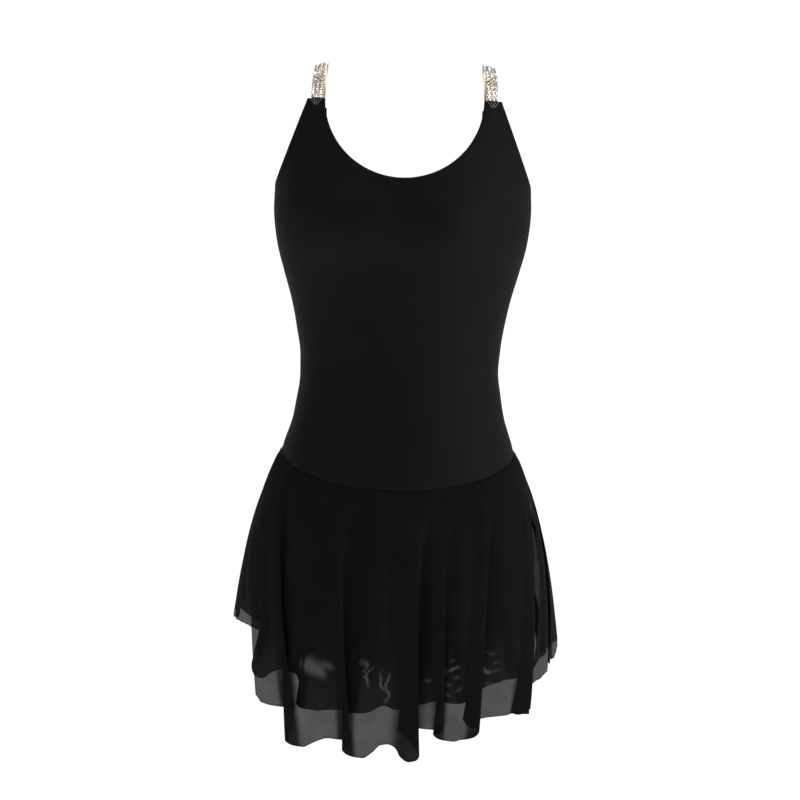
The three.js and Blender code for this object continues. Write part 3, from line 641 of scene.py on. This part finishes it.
def skirt_surface(centre, hem_left, hem_right, spread, pleats, swells, hem_line, layer, columns, rows, seed):
    """The mid surface of a skirt panel as a grid of points, its UVs in metres of cloth, and how far each
    point is folded in a pleat. Rows run from the seam to the hem, columns across."""
    t = np.linspace(0, 1, columns)[None, :]
    v = np.linspace(0, 1, rows)[:, None] ** 1.05
    hem_angle = hem_left + (hem_right - hem_left) * t
    top_angle = -TOP_REACH + 2 * TOP_REACH * t
    angle = top_angle + (hem_angle - top_angle) * v ** spread
    grow = smooth(0.0, 0.3, v) * (0.35 + 0.65 * v)
    out, folded, lift = np.zeros_like(angle), np.zeros_like(angle), np.zeros_like(angle)
    for k, (at, width, swing, stand) in enumerate(pleats):
        wide = width * (1.0 + 0.25 * (1 - v))
        offset = hem_angle + 1.5 * math.sin(2.3 * k + seed) * (1 - v) - at
        u = np.clip(offset / wide, -1, 1)
        wave = np.sin(math.pi * u)
        angle = angle - swing * grow * wave
        lap = 0.95 * swing - 0.4 * width
        from_fold = np.abs(offset - swing * grow * wave)
        folded = np.maximum(folded, smooth(2.1 * lap, 0.8 * lap, from_fold) * grow)
        out = out - stand * grow * wave * (1 - 0.3 * u)
        turn = math.acos(min(1, width / (math.pi * swing))) / math.pi
        lift = lift + TURN_LIFT * np.exp(-(((np.abs(offset / wide) - turn) / 0.28) ** 2)) * v ** 10
    for k, (at, width, stand) in enumerate(swells):
        offset = hem_angle + 2.5 * math.sin(1.7 * k + seed) * (1 - v) - at
        u = np.clip(offset / (width * (1.15 - 0.15 * v)), -1, 1)
        out = out + stand * grow * np.cos(math.pi * u / 2) ** 2
    ripple = np.sin(hem_angle * 0.55 + seed * 3 + 2.2 * np.sin(v * 3 + seed)) * 1.2 * grow
    flutter = np.sin(hem_angle * 1.35 + seed) * 0.8 * smooth(0.75, 1.0, v)
    phi = centre + angle * RAD
    c = np.cos(phi)
    seam_z = seam_level(phi)
    low = SEAM_SIDE_LEVEL - cubic(hem_line, np.broadcast_to(hem_angle, angle.shape))
    z = seam_z - 0.2 + (low - seam_z) * v + lift
    n = normal_at(phi, seam_z)
    flat = n[..., :2] / np.linalg.norm(n[..., :2], axis=-1, keepdims=True)
    p = form_point(phi, seam_z)
    drop = seam_z - z
    rise = 1 - np.exp(-drop / EASE)
    away = 0.9 + 1.7 * smooth(0, 14, drop) + layer(np.abs(angle), v)
    x = p[..., 0] + flat[..., 0] * away + np.sin(phi) * FLARE_SIDE * rise
    y = p[..., 1] + flat[..., 1] * away - c * np.where(c > 0, FLARE_FRONT, FLARE_BACK) * rise
    keep = smooth(2, 26, drop)
    total = (out + ripple + flutter) * keep
    hang = smooth(0.6, 1.0, np.abs(np.sin(phi)))
    total = np.where(total > 0, total * (1 - 0.8 * hang), total * (1 - 0.2 * hang))
    x = x + np.sin(phi) * total
    y = y - np.cos(phi) * total
    pts = np.stack([x, y, z], -1)
    step = np.linalg.norm(np.diff(pts, axis=1), axis=-1)
    across = np.concatenate([np.zeros((rows, 1)), np.cumsum(step, 1)], 1)
    across = np.broadcast_to(across[-1:], across.shape)
    down = np.broadcast_to(v * UV_DROP, across.shape)
    return pts, np.stack([across, down], -1) * MM, folded


# Shares of light: what a cut edge, a pleat's folds and gathers stop beyond the plain net, the most that they
# stop together, and what a crushed patch lets through, which lightens it as a painted highlight as well as
# thinner net.
CUT_EDGE, IN_FOLD, GATHERED, MOST_EXTRA, THINNED_AND_LIT = 0.035, 0.07, 0.052, 0.08, 0.62


def cover_of(pts, folded, crushed_and_lit, low, high):
    """How much more light than usual the net stops at each point: more where it is gathered, at its folds and
    along its cut edge, and less where it is crushed, which lightens those patches as a painted highlight as
    well as thinner net."""
    x, z = pts[..., 0], pts[..., 2]
    edge = np.zeros(pts.shape[:2])
    edge[-1:] = edge[:, :1] = edge[:, -1:] = CUT_EDGE
    thin_and_lit = np.zeros(pts.shape[:2])
    for k, (kind, cx, cz, half_x, half_z) in enumerate(crushed_and_lit):
        inside = smooth(1.2, 0.5, np.hypot((x - cx) / half_x, (z - cz) / half_z))
        if kind == "blot":
            slant = (z - cz) + 0.45 * (x - cx)
            blur = np.sin(x / 5.5 + 1.7 * np.sin(z / 7 + k)) + np.sin(z / 8 - x / 12 + k)
            light = smooth(1.0, 0.2, np.abs(slant) / (half_z * 0.8)) * smooth(-1.3, 0.9, blur)
        elif kind == "wisp":
            sway = x - cx - 3.2 * np.sin(z / 5.5 + k) - 1.5 * np.sin(z / 2.6)
            fork = np.abs(sway) - 0.22 * np.abs(z - cz + half_z * 0.6)
            light = smooth(1.7, 0.3, np.abs(fork))
        else:
            bend = 1.5 * np.sin(x / 4.2 + k + 0.6 * np.sin(z / 6)) + 1.1 * np.sin(x / 9 + z / 11 + 2 * k)
            fade = np.sin(z / 5.1 + x / 7.5 + 1.9 * k) * np.sin(z / 12 - x / 5 + k)
            light = smooth(0.35, 0.95, np.sin(z / 2.0 + bend)) * smooth(-0.55, 0.45, fade)
        # Crushed patches: thinner net and a painted highlight, both made by letting more backdrop through.
        thin_and_lit = np.maximum(thin_and_lit, inside * light)
    down = np.linspace(0, 1, len(pts))[:, None]
    gathered = GATHERED * (1 - smooth(low, high, down))
    extra = np.minimum(edge + IN_FOLD * folded + gathered, MOST_EXTRA)
    return extra - THINNED_AND_LIT * thin_and_lit * smooth(0.45, 0.8, down)


def area_of(pts):
    """The area of a grid of points, in square metres."""
    a, b, c, d = pts[:-1, :-1], pts[:-1, 1:], pts[1:, 1:], pts[1:, :-1]
    halves = (np.cross(b - a, c - a), np.cross(c - a, d - a))
    return 0.5 * float(sum(np.linalg.norm(h, axis=-1).sum() for h in halves)) * 1e-6


def skirt_cloth(name, pts, uv, cover, node_name):
    """A skirt panel, with the width, length and area of its cloth laid flat, in metres."""
    nv, nu = pts.shape[:2]
    ob = new_mesh(name, pts.reshape(-1, 3), grid_faces(nu, nv), None, [NET], uv.reshape(-1, 2))
    layer = ob.data.attributes.new("cover", "FLOAT", "POINT")
    layer.data.foreach_set("value", cover.astype(np.float32).ravel())
    width = float(np.linalg.norm(np.diff(pts[-1], axis=0), axis=-1).sum()) * MM
    length = float(np.linalg.norm(np.diff(pts, axis=0), axis=-1).sum(0).max()) * MM
    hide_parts(node_name)
    return ob, width, length, min(area_of(pts), 0.999 * width * length)


def front_layer(angle, v):
    """How far the front panel stands off the back one, which it laps at the sides."""
    return smooth(24, 44, angle) * (1.6 + 5 * v)


def back_layer(angle, _):
    return 0 * angle


NU, NV = ((560, 120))
front = skirt_surface(0, -50, 48.8, 0.5, FRONT_PLEATS, FRONT_SWELLS, FRONT_HEM_LINE, front_layer, NU, NV, 0.7)
back = skirt_surface(math.pi, -128, 128, 0.7, BACK_PLEATS, BACK_SWELLS, BACK_HEM_LINE, back_layer,
                     NU * 3 // 2, NV * 5 // 4, 1.9)
for (pts, uv, folded), crushed_and_lit, low, high, name, node_name, body, reach in (
    (front, [], 0.52, 0.72, "skirt_front_cloth", "skirt_front_panel", "skirt_front", -60),
    (back, CRUSHED_AND_LIT, 0.80, 0.95, "skirt_back_cloth", "skirt_back_panel", "skirt_back", 60),
):
    cover = cover_of(pts, folded, crushed_and_lit, low, high)
    ob, width, length, area = skirt_cloth(name, pts, uv, cover, node_name)
    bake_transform(ob)

# ---------- shoulder straps ----------
CREST_POWER = 2 / 2.3  # makes a strap's arch a little squarer than a half ellipse


def strap_line():
    """The left strap's line, from its front tail up over the shoulder to its back tail."""
    depth = -BACKING_GAP - STRAP_THICKNESS

    def tucked(phi_of, level):
        z = level - STRAP_TUCK * (1 - np.linspace(0, 1, 4)) - 1
        return on_form(phi_of(TAB_CENTRE, z), z, depth)

    front, back = tucked(front_phi, TAB_LEVEL), tucked(back_phi, BACK_TAB_LEVEL)
    arch = []
    for t in np.linspace(0, 1, 19)[1:-1]:
        a = t * math.pi
        foot = front[-1] if a < math.pi / 2 else back[-1]
        rise = math.sin(a) ** CREST_POWER
        reach = abs(math.cos(a)) ** CREST_POWER
        x = foot[0] + (TAB_CENTRE - STRAP_LEAN - foot[0]) * math.sin(a) ** 2
        arch.append([x, foot[1] * reach, foot[2] * (1 - rise)])
    pts = np.concatenate([front, np.array(arch), back[::-1]])
    dense = []
    for i in range(len(pts) - 1):
        p0, p1, p2, p3 = pts[max(i - 1, 0)], pts[i], pts[i + 1], pts[min(i + 2, len(pts) - 1)]
        for t in np.linspace(0, 1, 12, endpoint=False):
            dense.append(0.5 * (2 * p1 + (p2 - p0) * t + (2 * p0 - 5 * p1 + 4 * p2 - p3) * t * t
                                + (3 * p1 - p0 - 3 * p2 + p3) * t ** 3))
    dense.append(pts[-1])
    return np.array(dense)


LINE = strap_line()
ALONG = np.concatenate([[0], np.cumsum(np.linalg.norm(np.diff(LINE, axis=0), axis=1))])
LENGTH = ALONG[-1]


def tab_slope(phi_of, level):
    z = np.array(float(level - STRAP_TUCK / 2))
    a, b = form_point(phi_of(TAB_CENTRE + 1, z), z), form_point(phi_of(TAB_CENTRE - 1, z), z)
    return float((a - b)[1] / 2)


SLOPES = tab_slope(front_phi, TAB_LEVEL), tab_slope(back_phi, BACK_TAB_LEVEL)


def strap_frame(s):
    """The strap's place at a length along it, and its directions: along, across and out."""
    def at(q):
        return np.array([np.interp(q, ALONG, LINE[:, k]) for k in range(3)])

    p = at(s)
    along = at(min(s + 2, LENGTH)) - at(max(s - 2, 0))
    along /= np.linalg.norm(along)
    u = s / LENGTH
    slope = (SLOPES[0] if u < 0.5 else SLOPES[1]) * min(1, 1.15 * abs(math.cos(u * math.pi)))
    w = np.array([1, slope, -math.tan(STRAP_ROLL * RAD) * math.sin(u * math.pi) ** 4])
    w = w - along * (w @ along)
    w /= np.linalg.norm(w)
    return p, along, w, np.cross(w, along)


def circle(radius, height, angles):
    return [(radius * math.cos(a), radius * math.sin(a), height) for a in angles]


def stone_parts(radius, height):
    """A round stone: a flat table, sixteen crown facets, eight girdle facets and a flat back."""
    corners = np.arange(8) * math.pi / 4
    between = (np.arange(8) + 0.5) * math.pi / 4
    v = circle(0.52 * radius, height, corners) + circle(radius, height * 0.42, between)
    v += circle(radius, height * 0.1, between)
    f = [tuple(range(8))]
    for k in range(8):
        n = (k + 1) % 8
        f += [(k, 8 + k, n), (8 + k, 8 + n, n), (16 + k, 16 + n, 8 + n, 8 + k)]
    f.append(tuple(reversed(range(16, 24))))
    return np.array(v), f


# A cup's wall, and its claws' outer and inner faces: shares of its radius and height and, for a claw, of the
# claw's width.
CUP_WALL = ((0.8, 0), (1.13, 0.12), (1.17, 0.62), (1.0, 0.66))
CLAW_OUTSIDE = ((1.20, 0.3, 1.0), (1.16, 0.72, 1.0), (0.84, 0.93, 0.7))
CLAW_INSIDE = ((1.04, 0.3, 1.0), (1.00, 0.62, 1.0), (0.80, 0.80, 0.7))


def cup_parts(radius, height):
    """A stone's cup: a round bowl with four claws that reach in over the stone's edge."""
    v, f = [], []
    n = 14
    for share, level in CUP_WALL:
        v += circle(radius * share, level * height, np.arange(n) * 2 * math.pi / n)
    for k in range(3):
        for s in range(n):
            q = (s + 1) % n
            f.append((k * n + s, k * n + q, (k + 1) * n + q, (k + 1) * n + s))
    f.append(tuple(reversed(range(n))))
    for k in range(4):
        a = (k + 0.5) * math.pi / 2
        b = len(v)
        d, w = np.array([math.cos(a), math.sin(a)]), np.array([-math.sin(a), math.cos(a)]) * radius * 0.14
        for reach, level, wide in CLAW_OUTSIDE + CLAW_INSIDE:
            for sign in (-1, 1):
                q = d * radius * reach + w * sign * wide
                v.append((q[0], q[1], level * height))
        f += [(b, b + 1, b + 3, b + 2), (b + 2, b + 3, b + 5, b + 4), (b + 4, b + 5, b + 11, b + 10),
              (b + 1, b + 7, b + 9, b + 3), (b + 3, b + 9, b + 11, b + 5), (b, b + 2, b + 8, b + 6),
              (b + 2, b + 4, b + 10, b + 8)]
    return np.array(v), f


TAIL = STRAP_TUCK + 1
ROWS, ROW_PITCH, PITCH = 3, 5.0, 4.95
STONE = stone_parts(2.32, 2.1)
CUP = cup_parts(2.1, 1.75)
FIRST_STONE, LAST_STONE = TAIL + 0.6 + 2.3, LENGTH - TAIL - 0.6 - 2.3
COUNT = int(round((LAST_STONE - FIRST_STONE) / PITCH))
# Shares of facets painted as a glint, a mid-tone reflection and shade.
PAINTED_FACET_SHARES = [0.64, 0.24, 0.12]  # of facets that look bright, clear and dark
MESH_COLUMNS, MESH_STEPS = 7, 90
# A tack's crossing stitches: each runs between two points (across the tab, down from its top), in mm.
TACK_LINES = [
    ((-6.2, -0.6), (-0.8, -7.6)), ((6.2, -0.6), (0.8, -7.6)), ((-3.0, -0.5), (1.9, -6.0)),
    ((3.2, -0.5), (-1.6, -6.4)),
]


def swing(ob, body):
    """Bakes a strap piece's place into its mesh."""
    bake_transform(ob)


def stone_seat(s, across):
    """Where a stone sits, and its own directions, with a small tilt of its own."""
    p, along, w, n = strap_frame(s)
    tilt = rng.normal(0, 0.03, 2)
    out = n + w * tilt[0] + along * tilt[1]
    out /= np.linalg.norm(out)
    ax = w - out * (w @ out)
    ax /= np.linalg.norm(ax)
    return p + w * across + n * (BACKING + 0.15), ax, np.cross(out, ax), out


def set_part(parts, turn, seat, side, verts, faces):
    """Adds a turned copy of a stone or cup at a seat to a list of points and faces."""
    origin, ax, ay, out = seat
    points, part_faces = parts
    ca, sa = math.cos(turn), math.sin(turn)
    x, y = points[:, 0] * ca - points[:, 1] * sa, points[:, 0] * sa + points[:, 1] * ca
    placed = origin + x[:, None] * ax + y[:, None] * ay + points[:, 2:] * out
    placed[:, 0] *= side
    off = len(verts)
    verts.extend(placed)
    faces.extend(tuple(off + i for i in f) for f in part_faces)


def stone_row(hand, side, body, row):
    stones, stone_faces, painted_facets, cups, cup_faces = [], [], [], [], []
    for k in range(COUNT + 1):
        turn = rng.uniform(0, math.pi / 4)
        along = FIRST_STONE + (LAST_STONE - FIRST_STONE) * k / COUNT
        seat = stone_seat(along, (row - (ROWS - 1) / 2) * ROW_PITCH)
        set_part(STONE, turn, seat, side, stones, stone_faces)
        # Each facet gets a painted glint, mid-tone reflection or shade at random.
        painted_facets.extend(rng.choice([0, 1, 2], p=PAINTED_FACET_SHARES, size=len(STONE[1])))
        set_part(CUP, 0.0, seat, side, cups, cup_faces)
    stone_ob = new_mesh(f"strap_{hand}_stones_{row + 1}", stones, stone_faces, None,
                        STONE_LIT_AND_SHADED, None, False, painted_facets)
    cup_ob = new_mesh(f"strap_{hand}_cups_{row + 1}", cups, cup_faces, None, [GOLD], None, False)
    for ob in (stone_ob, cup_ob):
        recalc(ob)
        swing(ob, body)
    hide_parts(f"strap_{hand}_crystal_row_{row + 1}")


def wire_mesh(hand, side, body):
    """The backing: a band of fine gold wire mesh, dimpled under each stone."""
    low, high = [], []
    for across in np.linspace(-STRAP_WIDTH / 2 + 0.2, STRAP_WIDTH / 2 - 0.2, MESH_COLUMNS):
        under, over = [], []
        for s in np.linspace(TAIL - 1.0, LENGTH - TAIL + 1.0, MESH_STEPS):
            p, _, w, n = strap_frame(s)
            bend = 0.12 * math.sin(s * 2 * math.pi / PITCH)
            under.append((p + w * across + n * (0.02 + bend * 0.3)) * [side, 1, 1])
            over.append((p + w * across + n * (BACKING + bend * 0.3)) * [side, 1, 1])
        low.append(under)
        high.append(over)
    ob = shell(f"strap_{hand}_wire_mesh", np.array(low), np.array(high), None, [MESH_GOLD])
    swing(ob, body)
    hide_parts(f"strap_{hand}_backing")


def tack(hand, side, name, phi_of, level):
    """A thread tack over a tab: a few crossing stitches that hold the strap's tail behind it."""
    verts, faces = [], []
    for a, b in TACK_LINES:
        pts = []
        for t in np.linspace(0, 1, 9):
            x, dz = a[0] + (b[0] - a[0]) * t, a[1] + (b[1] - a[1]) * t
            z = np.array(level + dz)
            pts.append(on_form(phi_of(side * (TAB_CENTRE + x), z), z, 1.5 + 0.25 * math.sin(math.pi * t)))
        v, f = tube_parts(np.array(pts), 0.16, 6, len(verts))
        verts.extend(v)
        faces.extend(f)
    ob = new_mesh(f"strap_{hand}_stitches_{name}", verts, faces, "torso", [TACK])
    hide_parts(f"strap_{hand}_tack_{name}")


for hand, side in (("right", -1), ("left", 1)):
    for row in range(ROWS):
        stone_row(hand, side, f"strap_{hand}", row)
    wire_mesh(hand, side, f"strap_{hand}")
    tack(hand, side, "front", front_phi, TAB_LEVEL)
    tack(hand, side, "back", back_phi, BACK_TAB_LEVEL)


# ---------- stitching ----------
STITCH_PITCH, STITCH_LENGTH, STITCH_LIFT, STITCH_SINK = 3.0, 2.2, 1.42, 0.15
HEM_ROWS = (5.6, 7.0)  # from a hemmed edge to its two rows of stitches, in mm


def stitches(name, path, normals, inward, rows, lift=STITCH_LIFT):
    """Rows of short stitches along an edge, each a small rounded bar of thread."""
    verts, faces = [], []
    seg = np.linalg.norm(np.diff(path, axis=0), axis=1)
    run = np.concatenate([[0], np.cumsum(seg)])

    def at(q, points):
        return np.array([np.interp(q, run, points[:, k]) for k in range(3)])

    for inset in rows:
        for s in np.arange(2, run[-1] - 3, STITCH_PITCH):
            p, q = at(s, path), at(s + STITCH_LENGTH, path)
            n = at(s + STITCH_LENGTH / 2, normals)
            t = (q - p) / max(np.linalg.norm(q - p), 1e-9)
            side = np.cross(t, n) * inward
            a, b = p + side * inset, q + side * inset
            sunk, up = n * (lift - STITCH_SINK), n * lift
            pts = np.array([a + sunk, a * 0.75 + b * 0.25 + up, a * 0.25 + b * 0.75 + up, b + sunk])
            v, f = tube_parts(pts, 0.17, 5, len(verts))
            verts.extend(v)
            faces.extend(f)
    return new_mesh(name, verts, faces, "torso", [THREAD])


def edge_path(edge):
    return on_form(edge[:, 0], edge[:, 1]), normal_at(edge[:, 0], edge[:, 1])


def below_strap(edge, level):
    return edge[edge[:, 1] < level - 2]


path, nrm = edge_path(below_strap(neckline(TAB_LEVEL, NECK_RADIUS, front_phi, 120), TAB_LEVEL))
stitches("neck_stitching_front", path, nrm, -1, HEM_ROWS)
path, nrm = edge_path(below_strap(neckline(BACK_TAB_LEVEL, BACK_NECK_DEPTH, back_phi, 160), BACK_TAB_LEVEL))
stitches("neck_stitching_back", path, nrm, 1, HEM_ROWS)
for hand, side in (("right", -1), ("left", 1)):
    front = below_strap(armhole(TAB_LEVEL, front_phi, 60), TAB_LEVEL)[::-1]
    back = below_strap(armhole(BACK_TAB_LEVEL, back_phi, 60), BACK_TAB_LEVEL)[1:]
    edge = np.concatenate([front, back])
    edge[:, 0] *= side
    path, nrm = edge_path(edge)
    stitches(f"armhole_stitching_{hand}", path, nrm, side, HEM_ROWS)
phi = np.linspace(-math.pi / 2, 1.5 * math.pi, 400)
path, nrm = edge_path(np.stack([phi, seam_level(phi)], -1))
stitches("basque_stitching", path, nrm, -1, (2.4,), lift=0.95)

# ---------- care label ----------
LABEL_TOP = BACK_TAB_LEVEL - BACK_NECK_DEPTH - EDGE_MARGIN - ELASTIC_WIDTH - 0.4
half = LABEL_WIDTH / 2
x, d = np.meshgrid(np.linspace(-half, half, LABEL_WIDTH + 1), np.linspace(0, LABEL_LENGTH, LABEL_LENGTH + 1))
z = LABEL_TOP - d
share = d / LABEL_LENGTH
inside = -LAYER_GAP - ELASTIC - 0.1 - 1.6 * share ** 2 - 0.25 * np.sin(x / 3.4) * share
face = on_form(np.full_like(x, math.pi), z)
face[..., 0] = x
nrm = normal_at(np.full_like(x, math.pi), z)
label = shell("care_label_cloth", face + nrm * (inside - 0.3)[..., None], face + nrm * inside[..., None],
              "label", [SATIN])
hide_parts("care_label")
pts = []
for k in range(0, 41):
    q = on_form(math.pi, LABEL_TOP - 1.2, -LAYER_GAP - ELASTIC - 0.55 - 0.12 * (k % 2))
    q[0] = -9.2 + 18.4 * k / 40
    pts.append(q)
verts, faces = tube_parts(np.array(pts), 0.14, 5)
new_mesh("care_label_stitching", verts, faces, "label", [THREAD])

# ---------- what stays from the solids ----------
for name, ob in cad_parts.items():
    if ob.hide_render:
        continue
    mat = BAND if "elastic" in name else TAPE if "tape" in name else STRETCH
    ob.data.materials.clear()
    ob.data.materials.append(mat)

# ---------- stage ----------
stage_mat, N, L, b = material("studio_paper", (0.93, 0.93, 0.93), 0.9)
b.inputs["Emission Color"].default_value = (1, 1, 1, 1)
b.inputs["Emission Strength"].default_value = 0.8
noise = node(N, "ShaderNodeTexNoise")
noise.inputs["Scale"].default_value = 2.0
soft = node(N, "ShaderNodeMix", data_type="RGBA")
soft.inputs[6].default_value = (0.92, 0.92, 0.92, 1)
soft.inputs[7].default_value = (0.95, 0.95, 0.95, 1)
L.new(noise.outputs["Fac"], soft.inputs[0])
L.new(soft.outputs[2], b.inputs["Base Color"])
FLOOR_LEVEL, FLOOR_HALF = -1420, 2600
corners = [(x * FLOOR_HALF, y * FLOOR_HALF, FLOOR_LEVEL) for x, y in ((-1, -1), (1, -1), (1, 1), (-1, 1))]
floor = new_mesh("studio_floor", corners, [(0, 1, 2, 3)], None, [stage_mat], None, False)

# The backdrop is white to the eye, and lights the cloth less than it shows.
world = bpy.data.worlds.new("studio")
bpy.context.scene.world = world
world.use_nodes = True
WN, WL = world.node_tree.nodes, world.node_tree.links
seen = node(WN, "ShaderNodeLightPath")
level = node(WN, "ShaderNodeMapRange")
level.inputs["To Min"].default_value = 0.42
level.inputs["To Max"].default_value = 1.05
WL.new(seen.outputs["Is Camera Ray"], level.inputs["Value"])
WL.new(level.outputs["Result"], WN["Background"].inputs["Strength"])
WN["Background"].inputs["Color"].default_value = (1, 1, 1, 1)


def area_light(name, at, target, size, power, colour):
    data = bpy.data.lights.new(name, "AREA")
    data.shape = "RECTANGLE"
    data.size, data.size_y = size
    data.energy = power
    data.color = colour
    ob = bpy.data.objects.new(name, data)
    bpy.context.scene.collection.objects.link(ob)
    ob.location = at
    ob.rotation_euler = (Vector(target) - Vector(at)).to_track_quat("-Z", "Y").to_euler()


area_light("key_right", (2.7, -1.0, 0.5), (0, 0, -0.4), (1.2, 1.8), 56, (0.93, 0.96, 1.0))
area_light("fill_left", (-2.0, -2.2, 0.2), (0, 0, -0.4), (1.6, 1.6), 12, (1.0, 0.99, 0.97))
area_light("top", (0, 0.2, 1.7), (0, 0, -0.3), (1.4, 1.0), 16, (1, 1, 1))

CAMERA_ROLL, DISTANCE, VIEW_WIDTH, SENSOR = 1.12, 6.0, 0.920, 36
target = Vector((0.0013, 0, -0.383))
cam_data = bpy.data.cameras.new("camera")
cam_data.sensor_width = SENSOR
cam_data.lens = SENSOR * DISTANCE / VIEW_WIDTH
camera = bpy.data.objects.new("camera", cam_data)
bpy.context.scene.collection.objects.link(camera)
camera.location = target + Vector((0, -1, 0)) * DISTANCE
aimed = (target - camera.location).to_track_quat("-Z", "Y").to_matrix()
camera.rotation_euler = (aimed @ Matrix.Rotation(CAMERA_ROLL * RAD, 3, "Z")).to_euler()
bpy.context.scene.camera = camera
bpy.context.scene.view_settings.view_transform = "Standard"

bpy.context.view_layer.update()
